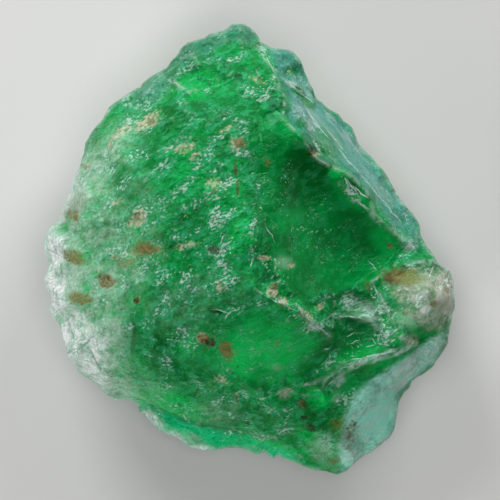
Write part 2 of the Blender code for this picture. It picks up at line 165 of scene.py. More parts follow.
# Heights of the front in millimetres, as (x, y, height), one group for each form of the stone
FRONT_HEIGHTS = {
    "crown": ((255, 235, 13.2), (235, 190, 12.5), (256, 150, 11.5), (258, 286, 12.8), (222, 255, 12.8),
              (190, 215, 12.0), (182, 290, 11.7)),
    "rough face": ((150, 200, 10.9), (150, 258, 11.0), (120, 178, 9.5), (108, 228, 9.5), (100, 290, 9.2),
                   (140, 330, 9.9), (190, 130, 10.3), (150, 140, 9.4), (112, 140, 8.0), (82, 200, 7.9),
                   (72, 265, 7.8), (82, 330, 7.3), (112, 378, 6.3)),
    "top": ((230, 90, 9.2), (192, 80, 8.0), (245, 48, 7.3), (212, 52, 6.8), (262, 110, 9.9)),
    "rim": ((240, 26, 6.0), (190, 43, 5.6), (150, 77, 5.7), (108, 110, 5.8), (84, 150, 6.0),
            (68, 195, 6.1), (46, 240, 6.1), (46, 285, 5.8), (57, 320, 5.4), (78, 373, 4.8),
            (114, 400, 4.2), (150, 423, 3.3), (190, 449, 2.9), (230, 450, 2.9), (262, 455, 3.1),
            (305, 468, 3.2), (339, 476, 3.0), (372, 453, 3.3), (395, 430, 3.5), (405, 393, 3.8),
            (432, 370, 4.2), (448, 340, 4.7), (455, 310, 5.4), (450, 272, 5.6), (426, 245, 5.2),
            (416, 217, 4.7), (394, 188, 4.5), (365, 150, 4.5), (342, 116, 4.6), (314, 91, 4.9),
            (303, 66, 5.0), (287, 49, 5.2), (265, 45, 6.0)),
    "bevel lip": ((266, 63, 7.6), (275, 80, 8.5), (285, 107, 9.7), (283, 122, 10.4), (304, 145, 10.6),
                  (319, 163, 10.2), (346, 175, 9.4), (367, 200, 8.6), (384, 225, 7.6), (404, 240, 6.6)),
    "hollow": ((300, 172, 10.3), (322, 200, 9.5), (345, 230, 8.5), (350, 260, 8.0), (310, 240, 10.0),
               (288, 268, 11.5), (328, 285, 9.1), (375, 262, 7.1), (386, 245, 6.8), (278, 200, 11.7)),
    "main ridge": ((272, 298, 12.4), (297, 311, 11.3), (323, 332, 9.4)),
    "pool": ((350, 332, 7.8), (372, 338, 7.3), (346, 316, 8.2), (371, 318, 7.5)),
    "lower face": ((300, 338, 10.1), (268, 348, 10.3), (228, 340, 10.9), (200, 362, 9.6),
                   (250, 390, 8.3), (300, 385, 7.9), (215, 400, 7.3), (270, 420, 6.8),
                   (320, 420, 6.2), (340, 440, 5.2), (190, 408, 6.4), (160, 395, 6.4), (180, 340, 10.3)),
    "lower right": ((407, 348, 6.6), (367, 359, 7.2), (330, 376, 7.6), (418, 352, 6.0), (395, 373, 6.1),
                    (366, 391, 6.2), (392, 400, 4.8), (368, 430, 4.6)),
    "knob": ((420, 300, 8.3), (405, 281, 7.9), (440, 298, 7.4), (427, 326, 7.3), (402, 310, 7.8)),
}

RIDGE_SHARPNESS = 1.5  # 1 is a straight fall from the crest, and more is a sharper one
STEP_REACH = 6  # how many half widths away from its edge a step dies out
LUMP_FULLNESS = 1.3  # 1 is a pointed lump, and more is one with a broader top

# Sharp ridges: height in millimetres, half width in pixels, and the line of the crest
RIDGES = (
    (0.30, 12, ((262, 46), (266, 63), (274, 78), (282, 97), (285, 107), (281.6, 122), (291, 130),
                (298, 137), (304, 145), (311, 156), (319, 163), (336, 171), (346, 175), (357, 183.5),
                (365, 192), (368.6, 201), (372.5, 215), (384, 225.5), (395, 235), (404, 240), (418, 240))),
    (0.35, 9, ((286, 83), (298, 89), (307, 95.5), (316, 101))),
    (0.55, 17, ((256, 289), (266, 296), (276, 299), (287, 305), (297, 311), (304, 317.5), (314, 324),
                (323.5, 332), (329, 336))),
    (0.15, 9, ((317, 328), (321, 323), (327, 318), (334, 316), (346, 316.5), (357, 319), (371, 320))),
    (0.35, 9, ((371, 282), (378, 295), (384, 308), (390, 320), (396, 332), (401, 338.5))),
    (0.40, 9, ((401, 338.5), (413, 347), (424, 343), (437, 337), (450, 326))),
    (0.30, 8, ((371, 282), (383, 275), (395, 268), (410, 263), (437, 262))),
    (0.45, 13, ((413, 347), (396, 350), (384, 354), (367, 359), (352, 363), (338, 369), (327, 377),
                (300, 386))),
    (0.45, 12, ((449, 335), (429, 343), (418, 352), (408, 366), (395, 373.5), (380, 381), (366, 391),
                (356, 402), (345, 424), (339, 450))),
    (0.35, 9, ((158, 73), (172, 82), (181, 89), (189, 94))),
)

# Steps: drop in millimetres on the far side, half width in pixels, and the line of the edge
STEPS = (
    (0.7, 5, ((126, 396), (150, 404), (170, 412), (190, 419), (212, 425), (240, 432), (268, 440),
              (290, 450))),
    (0.35, 4, ((96, 318), (82, 334), (74, 350), (86, 366), (104, 384))),
    (0.3, 4, ((262, 300), (248, 308), (232, 306), (214, 312), (196, 306))),
    (0.3, 4, ((196, 388), (214, 382), (236, 386), (252, 396))),
)

# Scoops: centre, long and short half widths in pixels, turn in degrees, and depth in millimetres
SCOOPS = (
    ((350, 331), 31, 14, -12, 0.2),
    ((366, 306), 19, 9, 10, 0.25),
    ((291, 72), 10, 7, 20, 0.5),
    ((303, 98), 11, 6, -30, 0.4),
    ((316, 132), 14, 8, -55, 0.3),
    ((200, 82), 18, 10, -25, 0.45),
    ((312, 398), 13, 9, 20, 0.4),
    ((312, 426), 8, 6, 0, 0.35),
    ((376, 372), 20, 6, 25, 0.25),
)

# Lumps: centre, half width in pixels, and height in millimetres
LUMPS = (
    ((58, 243), 15, 0.55), ((60, 296), 14, 0.45), ((74, 350), 15, 0.4), ((74, 176), 12, 0.35),
    ((242, 38), 13, 0.5), ((444, 298), 14, 0.3), ((423, 290), 13, 0.25), ((275, 289), 8, 0.35),
    ((120, 148), 14, 0.3), ((250, 140), 12, 0.35), ((170, 236), 16, 0.3), ((208, 192), 15, 0.3),
    ((104, 322), 14, 0.3), ((350, 452), 12, 0.3),
)

# Faces whose break is smooth and glassy, as outlines: chips and roughness fade out inside them
SMOOTH_FACES = (
    ((258, 118), (280, 112), (292, 122), (312, 142), (328, 158), (354, 168), (374, 186), (400, 218),
     (412, 240), (396, 262), (372, 280), (340, 300), (304, 304), (280, 292), (264, 262), (250, 210),
     (246, 150)),
    ((262, 304), (296, 318), (322, 340), (330, 362), (296, 384), (256, 388), (222, 376), (190, 384),
     (168, 360), (186, 322), (226, 312)),
    ((402, 362), (428, 356), (412, 384), (396, 404), (392, 432), (366, 448), (348, 430), (362, 404)),
    ((300, 62), (312, 96), (346, 124), (366, 156), (394, 194), (418, 232), (398, 230), (372, 206),
     (350, 172), (322, 154), (304, 128), (296, 100)),
    ((378, 286), (398, 268), (440, 266), (462, 290), (460, 318), (440, 334), (416, 342), (400, 332)),
    ((414, 348), (396, 352), (367, 361), (338, 371), (326, 384), (340, 408), (356, 400), (368, 389),
     (396, 371), (418, 352)),
    ((318, 330), (334, 320), (357, 322), (374, 326), (388, 340), (392, 348), (366, 358), (344, 362),
     (326, 352)),
)
SMOOTH_EDGE = 9  # pixels over which the roughness fades

# The flats of the back: the way each one faces, counter-clockwise from the right, how far from the
# centre in pixels it starts to rise, and its slope in degrees
BACK_FLATS = (
    (8, 92, 27), (52, 78, 31), (97, 104, 33), (141, 84, 29), (183, 98, 33), (226, 90, 26),
    (262, 96, 19), (305, 104, 21), (338, 112, 28), (30, 150, 48), (162, 168, 52), (118, 170, 50),
)

# Roughness of the break: size of the bumps in millimetres, and their height in millimetres
ROUGHNESS = ((3.2, 0.30), (1.4, 0.16), (0.7, 0.07))
SMOOTH_ROUGHNESS = 0.22  # the share of it that the smooth faces keep


def pixel_metres():
    """Metres for one pixel, from the length of the stone."""
    rows = [y for _, y in OUTLINE]
    return STONE_LENGTH / (max(rows) - min(rows))


def outline_reach(angle):
    """How far the outline is from the centre, in pixels, at each angle counter-clockwise from the right."""
    corners = np.array(OUTLINE, float) - CENTRE
    angles = np.arctan2(-corners[:, 1], corners[:, 0])
    reach = np.hypot(corners[:, 0], corners[:, 1])
    order = np.argsort(angles)
    return np.interp(angle, angles[order], reach[order], period=2 * np.pi)


def fade(value):
    """A smooth rise from 0 to 1 while the value goes from 0 to 1."""
    value = np.clip(value, 0, 1)
    return value * value * (3 - 2 * value)


def noise_at(points, size):
    """Soft noise, -1 to 1, with bumps of this size in millimetres, at points in metres."""
    places = points / (size * MM)
    return np.array([noise.noise(place) for place in places])


def layered(points, parts):
    """Noises of several sizes, each times its strength."""
    return sum(strength * noise_at(points, size) for size, strength in parts)


def turned(x, y, turn, long_size, short_size):
    """Places along and across a direction, in shares of the two sizes."""
    turn = np.radians(turn)
    along = (x * np.cos(turn) - y * np.sin(turn)) / long_size
    across = (x * np.sin(turn) + y * np.cos(turn)) / short_size
    return along, across


def line_distance(x, y, line):
    """For each point: its distance in pixels from a line, the line's nearest point, and its side of it."""
    distance = np.full_like(x, np.inf)
    near_x, near_y, side = np.zeros_like(x), np.zeros_like(x), np.ones_like(x)
    for (ax, ay), (bx, by) in zip(line[:-1], line[1:]):
        length = (bx - ax) ** 2 + (by - ay) ** 2
        along = np.clip(((x - ax) * (bx - ax) + (y - ay) * (by - ay)) / length, 0, 1)
        foot_x, foot_y = ax + along * (bx - ax), ay + along * (by - ay)
        away = np.hypot(x - foot_x, y - foot_y)
        turn = (bx - ax) * (y - ay) - (by - ay) * (x - ax)
        closer = away < distance
        distance = np.where(closer, away, distance)
        near_x = np.where(closer, foot_x, near_x)
        near_y = np.where(closer, foot_y, near_y)
        side = np.where(closer, np.where(turn < 0, -1, 1), side)
    return distance, near_x, near_y, side


def inside_share(x, y, outline):
    """1 well inside an outline, falling to 0 at its edge."""
    closed = outline + outline[:1]
    inside = np.zeros(x.shape, bool)
    for (ax, ay), (bx, by) in zip(closed[:-1], closed[1:]):
        if ay != by:
            crosses = (ay > y) != (by > y)
            inside ^= crosses & (x < (bx - ax) * (y - ay) / (by - ay) + ax)
    return np.where(inside, fade(line_distance(x, y, closed)[0] / SMOOTH_EDGE), 0)


def smooth_share(x, y):
    """1 on the glassy faces and 0 on the rough ones."""
    return np.max([inside_share(x, y, face) for face in SMOOTH_FACES], axis=0)


def spline_through(spots):
    """A smooth surface through spots of (x, y, height): a thin plate bent over them."""
    spots = np.array(spots, float)

    def kernel(x, y):
        squared = (x[:, None] - spots[:, 0]) ** 2 + (y[:, None] - spots[:, 1]) ** 2
        return squared * np.log(squared + 1.0)

    count = len(spots)
    plane = np.column_stack((np.ones(count), spots[:, :2]))
    system = np.zeros((count + 3, count + 3))
    system[:count, :count] = kernel(spots[:, 0], spots[:, 1])
    system[:count, count:] = plane
    system[count:, :count] = plane.T
    weights = np.linalg.solve(system, np.append(spots[:, 2], np.zeros(3)))

    def height(x, y):
        level = weights[count] + weights[count + 1] * x + weights[count + 2] * y
        return kernel(x, y) @ weights[:count] + level

    return height


front_form = spline_through([spot for group in FRONT_HEIGHTS.values() for spot in group])


def front_height(x, y):
    """Height of the front in millimetres, with its ridges, steps, scoops and lumps."""
    height = front_form(x, y)
    for rise, width, line in RIDGES:
        slope = np.clip(1 - line_distance(x, y, line)[0] / width, 0, 1)
        height += rise * slope ** RIDGE_SHARPNESS
    for drop, width, line in STEPS:
        distance, _, _, side = line_distance(x, y, line)
        beyond = fade((distance * side + width) / (2 * width))
        height -= drop * beyond * fade(1 - distance / (STEP_REACH * width))
    for (at_x, at_y), long_half, short_half, turn, depth in SCOOPS:
        along, across = turned(x - at_x, y - at_y, turn, long_half, short_half)
        height -= depth * np.clip(1 - along ** 2 - across ** 2, 0, 1)
    for (at_x, at_y), half, rise in LUMPS:
        height += rise * fade(LUMP_FULLNESS * (1 - np.hypot(x - at_x, y - at_y) / half))
    return height


def back_height(x, y):
    """Height of the back in millimetres: flats that rise from a level middle."""
    height = np.zeros_like(x)
    scale = pixel_metres() / MM
    for facing, start, slope in BACK_FLATS:
        turn = np.radians(facing)
        out = (x - CENTRE[0]) * np.cos(turn) - (y - CENTRE[1]) * np.sin(turn)
        height = np.maximum(height, (out - start) * scale * np.tan(np.radians(slope)))
    return height


def middle():
    """The middle of the outline's extents, in pixels."""
    corners = np.array(OUTLINE)
    return (corners.max(axis=0) + corners.min(axis=0)) / 2


def metres(x, y, height):
    """Pixels and millimetres to the model's own metres."""
    middle_x, middle_y = middle()
    scale = pixel_metres()
    return np.column_stack(((x - middle_x) * scale, (middle_y - y) * scale, height * MM))


def pixels(points):
    """The model's own metres back to pixels."""
    middle_x, middle_y = middle()
    scale = pixel_metres()
    return points[:, 0] / scale + middle_x, middle_y - points[:, 1] / scale


def drawn_to_ridges(x, y):
    """Moves the points near a sharp ridge onto its crest, so that the edges of the mesh follow it."""
    for _, _, line in RIDGES:
        distance, crest_x, crest_y, _ = line_distance(x, y, line)
        pull = fade((PULL_END - distance) / (PULL_END - PULL_WHOLE))
        x = x + (crest_x - x) * pull
        y = y + (crest_y - y) * pull
    return x, y


def surface(directions):
    """For directions on a sphere: the points of the stone in metres, how rough its break is there, from 0
    on the glassy faces to 1, and how free the point is to move, which is 0 where the stone rests."""
    down = (1 - directions[:, 2]) / 2
    angle = np.arctan2(directions[:, 1], directions[:, 0])
    wall_end = FRONT_SHARE + WALL_SHARE
    along_wall = np.clip((down - FRONT_SHARE) / WALL_SHARE, 0, 1)
    front = np.sqrt(np.clip(down / FRONT_SHARE, 0, 1))
    back = np.sqrt(np.clip((1 - down) / (1 - wall_end), 0, 1))
    share = np.where(down < FRONT_SHARE, front, back)
    share = share * (1 - WAIST_BULGE * (2 * along_wall - 1) ** 2)
    reach = outline_reach(angle) * share
    x = CENTRE[0] + reach * np.cos(angle)
    y = CENTRE[1] - reach * np.sin(angle)
    x, y = drawn_to_ridges(x, y)
    height = np.where(down < wall_end, front_height(x, y), 0)
    bottom = back_height(x, y)
    free = np.where(down < wall_end, 1, fade(bottom / FLAT_EDGE))
    bottom = np.minimum(bottom, np.where(down < wall_end, height - THINNEST_WALL, np.inf))
    height = height + (bottom - height) * along_wall
    rough = np.where(down < FRONT_SHARE, 1 - smooth_share(x, y), 1)
    return metres(x, y, height), rough, free


def chips():
    """Seeds of the flat chips: a point of the surface and the way the chip faces."""
    random = np.random.default_rng(CHIP_SEED)
    ways = random.normal(size=(CHIP_COUNT, 3))
    ways /= np.linalg.norm(ways, axis=1)[:, None]
    side = np.cross(ways, random.normal(size=(CHIP_COUNT, 3)))
    side /= np.linalg.norm(side, axis=1)[:, None]
    other = np.cross(ways, side)
    corners = [surface(ways + CHIP_STEP * way)[0] for way in (side, other, -side, -other)]
    facing = np.cross(corners[0] - corners[2], corners[1] - corners[3])
    facing /= np.linalg.norm(facing, axis=1)[:, None]
    return sum(corners) / 4, facing


def nearest(points, seeds):
    """For each point, the number of its nearest seed."""
    tree = kdtree.KDTree(len(seeds))
    for index, seed in enumerate(seeds):
        tree.insert(seed, index)
    tree.balance()
    return [tree.find(point)[1] for point in points]


def off_flat(points, seeds, facing, depth):
    """How far each point is from the flat through its seed, up to a depth in metres."""
    return np.clip(np.einsum("ij,ij->i", seeds - points, facing), -depth, depth)


def chip_shift(points):
    """The move that puts each point on the flat of its nearest chip."""
    seeds, facing = chips()
    chip = nearest(points, seeds)
    return facing[chip] * off_flat(points, seeds[chip], facing[chip], CHIP_DEPTH * MM)[:, None]


def bumps(points):
    """Height of the rough break at each point, in metres."""
    return sum(rise * MM * noise_at(points, size) for size, rise in ROUGHNESS)


def keep_within(points):
    """Holds the points inside the outline and above the table."""
    centre = metres(*CENTRE, 0)[0]
    out = points[:, :2] - centre[:2]
    limit = outline_reach(np.arctan2(out[:, 1], out[:, 0])) * pixel_metres()
    over = np.maximum(np.linalg.norm(out, axis=1) / limit, 1)
    points[:, :2] = centre[:2] + out / over[:, None]
    points[:, 2] = np.maximum(points[:, 2], 0)
    return points


def sphere_mesh(divisions):
    """A cube cut into a grid, and the direction on a sphere of each of its points."""
    mesh = bpy.data.meshes.new("emerald_stone")
    shape = bmesh.new()
    bmesh.ops.create_cube(shape, size=2)
    bmesh.ops.subdivide_edges(shape, edges=shape.edges[:], cuts=divisions - 1, use_grid_fill=True)
    shape.to_mesh(mesh)
    shape.free()
    cube = np.empty(len(mesh.vertices) * 3)
    mesh.vertices.foreach_get("co", cube)
    cube = np.tan(cube.reshape(-1, 3) * np.pi / 4)
    return mesh, cube / np.linalg.norm(cube, axis=1)[:, None]


# The fine break, which the plain solid leaves out
FINE_DIVISIONS = 124
FINE_FRONT_SHARE = 0.68  # the front takes more of the fine mesh than of the solid's
FINE_WALL_SHARE = 0.12
CHIP_SHARE = 0.7  # how much of the solid's chips the finer stone keeps, with its own chips on top
CHIP_EASE = 4  # how many times the steps between the solid's chips are eased
SMALL_CHIPS = ((1800, 0.09), (7000, 0.05))  # how many, and the most that each moves the surface in mm
SMALL_CHIP_SEED = 5
FINE_ROUGHNESS = ((0.42, 0.02), (0.2, 0.016))  # size and height of the bumps in millimetres
# The noises that make the edges of the marks ragged: sizes in millimetres and strengths
WIDE_WOBBLE = ((2.6, 0.35), (1.1, 0.25))
TIGHT_WOBBLE = ((0.55, 0.45), (0.26, 0.35))

# Directions of the picture in degrees up from the right, in which the streaks of each kind run
HACKLE_TURN = 28  # the splinters of the rough face
BEVEL_TURN = -50
FACET_TURN = 38  # the lower right facet
FEATHER_TURN = 18  # the pale feathery streaks above the pool

# Drawn-out relief: height in millimetres, long and short sizes in pixels, and a seed
SPLINTERS = (0.02, 9, 2.6, 1.0)
SPLINTER_DIP = -0.2  # how deep, as a share of their height, the splinters dip
BEVEL_LINES = ((0.035, 26, 9.0, 2.0), (0.012, 9, 3.4, 3.0))
BEVEL_WAVER = (1.8, 6)  # how the lines wander: size in millimetres and reach in pixels

# The ripples in the hollow
RIPPLE_CENTRE = (262, 118)  # where the blow fell that broke out the hollow
RIPPLE_LENGTH = 11.0  # pixels from one ripple to the next
RIPPLE_WAVER = (2.5, 9)  # size in millimetres of the noise that bends them, and its reach in pixels
RIPPLE_RISE = 0.02  # millimetres
RIPPLE_PATCHES = 3.0  # millimetres between the patches where they show
SWELLS = (1.6, 0.05)  # size and height in millimetres

GLAZE = (1.0, 0.7, 0.9, 0.9, 0.6, 0.8, 0.9)  # how glassy each of the smooth faces is
GLAZE_WAVER = ((1.5, 12.0), (0.6, 6.0))  # how the smooth faces' edges wander: sizes and reaches
FEATHER_WAVER = 30  # and by which the feathery patch's edge does
SECOND_NOISE = 0.01  # metres between the places of two noises that should differ
RIM_WIDTH = 4.5  # pixels of painted glow along the thin edge of the outline
CREST_WIDTH = 3.5  # pixels from a ridge's crest to the end of its pale line
EDGE_RISE = 0.02  # millimetres past its neighbours at which a point counts as an edge
BLOT_REACH = 1.3  # half widths from its centre at which a soft mark ends
BACK_PALE = 0.5  # how pale the back is
BACK_HARDNESS = 1.6

# Faces with a look of their own, as outlines in pixels
BEVEL = ((262, 46), (274, 78), (285, 107), (283, 122), (304, 145), (319, 163), (346, 175), (367, 200),
         (384, 225), (404, 240), (424, 243), (418, 216), (396, 188), (366, 148), (350, 120), (318, 94),
         (306, 66), (292, 46))
HOLLOW = SMOOTH_FACES[0]
KNOB = ((376, 282), (384, 272), (398, 264), (440, 262), (460, 280), (460, 318), (450, 332), (428, 336),
        (410, 324), (394, 306))
LOWER_FACET = ((450, 326), (428, 338), (407, 352), (388, 363), (366, 377), (352, 391), (340, 416),
               (336, 456), (340, 480), (400, 440), (404, 396), (440, 362))
RIM_LEDGE = ((110, 394), (126, 396), (150, 404), (170, 412), (190, 419), (212, 425), (240, 432), (268, 440),
             (296, 452), (310, 476), (240, 470), (180, 470), (120, 424))
FEATHER = ((326, 312), (344, 300), (370, 298), (380, 308), (388, 322), (400, 342), (384, 344), (372, 332),
           (362, 322), (344, 318), (332, 322))

# Soft marks on the front: centre, long and short half widths in pixels, turn in degrees, and strength
PALE = (
    (72, 300, 62, 112, 0, 0.85), (98, 168, 34, 66, -28, 0.75), (112, 372, 54, 30, -35, 0.6),
    (150, 96, 40, 14, 40, 0.3), (214, 408, 26, 18, -10, 0.45), (112, 230, 50, 70, 0, 0.5),
    (332, 452, 22, 22, 0, 0.45), (284, 262, 10, 7, 0, 0.6), (190, 300, 60, 26, 20, 0.25),
    (366, 308, 20, 11, 5, 0.55), (404, 322, 14, 14, 0, 0.75),
)
# Painted light: bright green patches where light shines through the stone
GLOW = (
    (193, 88, 26, 14, 25, 0.5), (273, 60, 9, 8, 0, 0.5), (265, 350, 44, 32, 0, 0.5),
    (319, 398, 13, 11, 0, 0.9), (176, 404, 34, 12, -22, 0.5), (230, 443, 66, 9, -8, 0.7),
    (350, 360, 40, 10, 25, 0.35), (380, 240, 14, 10, -35, 0.45), (333, 175, 6, 5, 0, 0.5),
    (246, 232, 16, 12, 0, 0.3), (320, 440, 30, 8, -20, 0.4), (140, 400, 14, 8, -20, 0.7),
)
# Painted shade: dark places of the front, such as the hollow, the pool, the bevel's windows and the top rim
PAINTED_SHADE = (
    (306, 170, 28, 46, -35, 0.8), (344, 232, 34, 26, -40, 0.4), (352, 336, 36, 17, -8, 0.55),
    (378, 350, 20, 6, 12, 0.85), (272, 121, 11, 8, -30, 0.5), (270, 142, 14, 14, 0, 0.5),
    (200, 46, 40, 10, 24, 0.6), (242, 33, 17, 11, 0, 0.6), (228, 70, 22, 12, 0, 0.25),
    (228, 348, 10, 12, 15, 0.55), (410, 272, 20, 7, 0, 0.4), (276, 106, 10, 8, -30, 0.9),
    (298, 93, 8, 5, -30, 1), (308, 104, 9, 5, -40, 1), (291, 72, 8, 6, 0, 0.9), (301, 126, 8, 5, -45, 0.8),
    (322, 152, 6, 4, -40, 0.9), (354, 188, 9, 4, -45, 1), (380, 296, 16, 8, 0, 0.3),
    (162, 358, 14, 30, 10, 0.35), (200, 428, 42, 6, -14, 0.7), (262, 190, 20, 40, 0, 0.4),
    (368, 196, 5, 9, 40, 0.8), (210, 320, 36, 14, 0, 0.25), (330, 346, 22, 6, 30, 0.6),
)
CRUST = (
    (54, 246, 13, 24, 0, 1), (56, 296, 13, 28, 0, 1), (66, 340, 15, 26, -20, 1), (92, 374, 22, 12, -38, 0.8),
    (66, 205, 6, 22, -15, 0.7), (76, 178, 5, 14, -15, 0.5), (80, 330, 14, 22, -10, 0.6),
    (86, 354, 26, 22, -38, 0.75), (198, 450, 16, 4, 0, 0.8), (152, 421, 16, 6, -40, 0.7),
    (176, 438, 14, 5, -25, 0.5), (410, 247, 8, 4, 0, 0.6), (446, 282, 10, 14, 0, 0.35),
    (425, 309, 6, 5, 30, 0.7), (418, 297, 9, 7, 0, 0.4), (410, 340, 8, 6, 0, 0.4),
)
CREAM = (
    (120, 136, 17, 6, 42, 0.6), (150, 123, 15, 7, 28, 0.85), (186, 150, 10, 6, 20, 0.6),
    (139, 219, 11, 8, 50, 0.8), (238, 146, 9, 7, 20, 0.6), (203, 337, 6, 6, 0, 1), (215, 185, 8, 6, 10, 0.6),
    (272, 292, 6, 5, 0, 0.9), (282, 300, 9, 3, -35, 0.9), (222, 378, 9, 5, -30, 0.45),
    (220, 286, 5, 8, 20, 0.5), (306, 314, 9, 3, -40, 0.8), (319, 306, 6, 4, 40, 0.6),
    (285, 392, 10, 5, 20, 0.5), (256, 82, 8, 3, -20, 0.7), (314, 156, 5, 4, 0, 0.8),
    (409, 341, 8, 4, 0, 0.7), (264, 258, 7, 3, 0, 1), (196, 158, 9, 3, 30, 0.5), (118, 203, 8, 4, 0, 0.5),
    (88, 166, 4, 4, 0, 0.6), (226, 132, 8, 3, 30, 0.5), (188, 246, 18, 4, 12, 0.5), (290, 266, 4, 3, 0, 0.6),
)
BROWN = (
    (147, 249, 12, 8, -10, 0.75), (108, 280, 9, 7, -30, 1), (138, 300, 5, 4, 0, 0.9),
    (207, 340, 10, 7, -25, 1), (226, 347, 7, 11, 20, 0.75), (275, 342, 5, 4, 0, 0.6),
    (242, 145, 8, 6, 0, 0.85), (152, 123, 6, 4, 20, 0.7), (274, 286, 5, 4, 0, 1), (387, 278, 9, 8, 20, 0.75),
    (367, 287, 3, 6, 20, 0.8), (445, 290, 4, 3, 0, 0.7), (389, 247, 4, 4, 0, 0.6), (268, 163, 7, 6, 0, 0.45),
    (348, 438, 12, 10, 20, 0.55), (332, 462, 9, 6, 0, 0.6), (303, 404, 6, 6, 0, 0.55),
    (254, 62, 4, 3, 0, 0.6), (138, 217, 6, 4, 40, 0.6), (118, 258, 5, 5, 0, 0.5), (236, 396, 3, 12, 0, 0.35),
    (216, 194, 4, 5, 0, 0.5), (78, 220, 4, 5, 0, 0.45), (85, 167, 4, 4, 0, 0.5), (240, 184, 4, 5, 0, 0.5),
    (280, 305, 6, 3, -30, 0.5), (220, 284, 5, 5, 0, 0.5), (354, 364, 6, 2.4, 10, 0.6),
    (394, 278, 14, 8, -10, 0.5),
)
OLIVE = (
    (82, 298, 19, 8, -12, 1), (79, 258, 14, 8, -25, 1), (73, 216, 9, 8, 0, 0.75), (148, 249, 18, 10, 0, 0.6),
    (128, 262, 12, 7, 0, 0.5), (432, 304, 5, 5, 0, 0.7), (406, 276, 25, 10, -4, 0.9),
    (344, 428, 22, 16, 30, 0.5), (229, 350, 9, 11, 15, 0.5), (404, 313, 3, 2, 0, 0.6),
    (350, 447, 6, 5, 0, 0.6),
)
BLACK = (
    (238, 77, 3, 2, 0, 0.9), (230, 44, 3, 1.6, 30, 0.9), (215, 250, 6, 4, -30, 0.9),
    (311, 152, 5, 6, -40, 0.8), (238, 365, 1.6, 1.6, 0, 0.9), (248, 423, 2, 2, 0, 1),
    (355, 423, 2.4, 2.2, 0, 1), (311, 428, 5, 4.5, 0, 0.95), (304, 417, 4, 2.6, 0, 0.8),
    (197, 391, 7, 1.4, 60, 0.7), (211, 341, 5, 4, 0, 0.9), (138, 300, 2.4, 2, 0, 0.8),
    (197, 211, 1.6, 1.6, 0, 0.8), (246, 415, 1.6, 1.6, 0, 0.6), (117, 330, 2, 1.6, 0, 0.4),
)
WHITE = (
    (384, 322, 4, 13, 25, 0.5), (372, 294, 3, 10, 25, 0.5), (226, 311, 9, 3, 12, 0.3),
    (171, 334, 8, 3, 0, 0.4), (182, 350, 10, 8, 0, 0.3), (178, 93, 10, 2, -10, 0.4), (264, 46, 4, 8, 0, 0.3),
    (232, 250, 7, 3, 50, 0.5), (274, 261, 6, 2.4, -40, 0.5),
)
FROSTED = (
    (292, 86, 20, 4, -27, 0.8), (300, 116, 14, 6, -48, 0.6), (312, 130, 13, 7, -50, 0.9),
    (322, 146, 13, 8, -50, 1), (330, 160, 10, 6, -45, 0.8), (352, 196, 16, 6, -45, 0.8),
    (372, 216, 18, 4, -48, 0.6), (380, 190, 26, 5, -48, 0.35), (262, 50, 6, 12, 20, 0.4),
    (396, 232, 14, 5, -48, 0.6), (411, 243, 10, 5, -50, 0.6),
)
STREAKED = (
    (404, 368, 24, 6, 36, 1), (384, 385, 18, 5, 38, 1), (430, 350, 22, 7, 32, 1), (398, 386, 16, 5, 26, 0.9),
    (374, 414, 9, 20, -20, 0.5), (366, 361, 32, 4, 16, 1), (400, 350, 18, 4, 12, 1),
    (338, 382, 7, 20, -12, 0.6), (386, 442, 14, 5, 38, 0.6), (352, 456, 14, 8, 30, 0.5),
    (326, 440, 12, 14, -40, 0.5),
)
HAZE = (
    (284, 180, 13, 6, 10, 0.6), (302, 229, 20, 7, -5, 0.9), (326, 231, 11, 5, 0, 0.7),
    (266, 262, 10, 9, 0, 0.8), (282, 261, 7, 7, 0, 0.9), (276, 212, 16, 7, 0, 0.5),
    (262, 196, 8, 14, 0, 0.4), (180, 338, 18, 13, 0, 0.9), (166, 372, 8, 24, 0, 0.6),
    (276, 366, 10, 6, 0, 0.5), (284, 392, 8, 6, 0, 0.6), (344, 300, 16, 5, 10, 0.6),
    (216, 304, 18, 6, -10, 0.6), (230, 314, 12, 5, 10, 0.7), (312, 300, 10, 6, 0, 0.5),
)
# Places where the painted glints are denser
SPARKLE = (
    (262, 258, 12, 14, 0, 0.8), (278, 272, 16, 12, -30, 0.7), (242, 246, 30, 20, 20, 0.6),
    (226, 200, 44, 40, 0, 0.4), (346, 301, 24, 8, 0, 0.7), (386, 326, 12, 22, 25, 0.9),
    (424, 292, 26, 26, 0, 0.6), (180, 338, 18, 14, 0, 0.8), (166, 370, 9, 24, 0, 0.6),
    (232, 310, 22, 8, 12, 0.8), (190, 270, 50, 22, 25, 0.5), (262, 96, 16, 12, 0, 0.5),
    (236, 128, 34, 16, 20, 0.4), (340, 362, 30, 7, 22, 0.7), (300, 316, 34, 8, -38, 0.8),
    (410, 292, 22, 16, 0, 0.5), (350, 410, 20, 24, 0, 0.4), (262, 372, 16, 8, 0, 0.4),
)
MILK = (
    (56, 290, 40, 92, 0, 0.85), (84, 352, 44, 52, -30, 0.85), (72, 205, 20, 56, -20, 0.7),
    (112, 388, 36, 16, -35, 0.7), (94, 168, 20, 44, -28, 0.45), (100, 300, 40, 60, 0, 0.3),
    (104, 240, 26, 30, 0, 0.35), (276, 366, 10, 6, 0, 0.4), (284, 392, 8, 7, 0, 0.4),
    (322, 452, 14, 12, 0, 0.4), (152, 420, 24, 8, -40, 0.7), (184, 440, 30, 8, -20, 0.5),
    (408, 368, 36, 8, 38, 0.3), (428, 352, 22, 8, 30, 0.4),
)
BLUSH = (
    (442, 294, 13, 26, 0, 0.9), (428, 286, 12, 12, 0, 0.6), (410, 290, 14, 10, 0, 0.35),
    (76, 206, 10, 16, -30, 0.5), (352, 440, 16, 12, 0, 0.3),
)
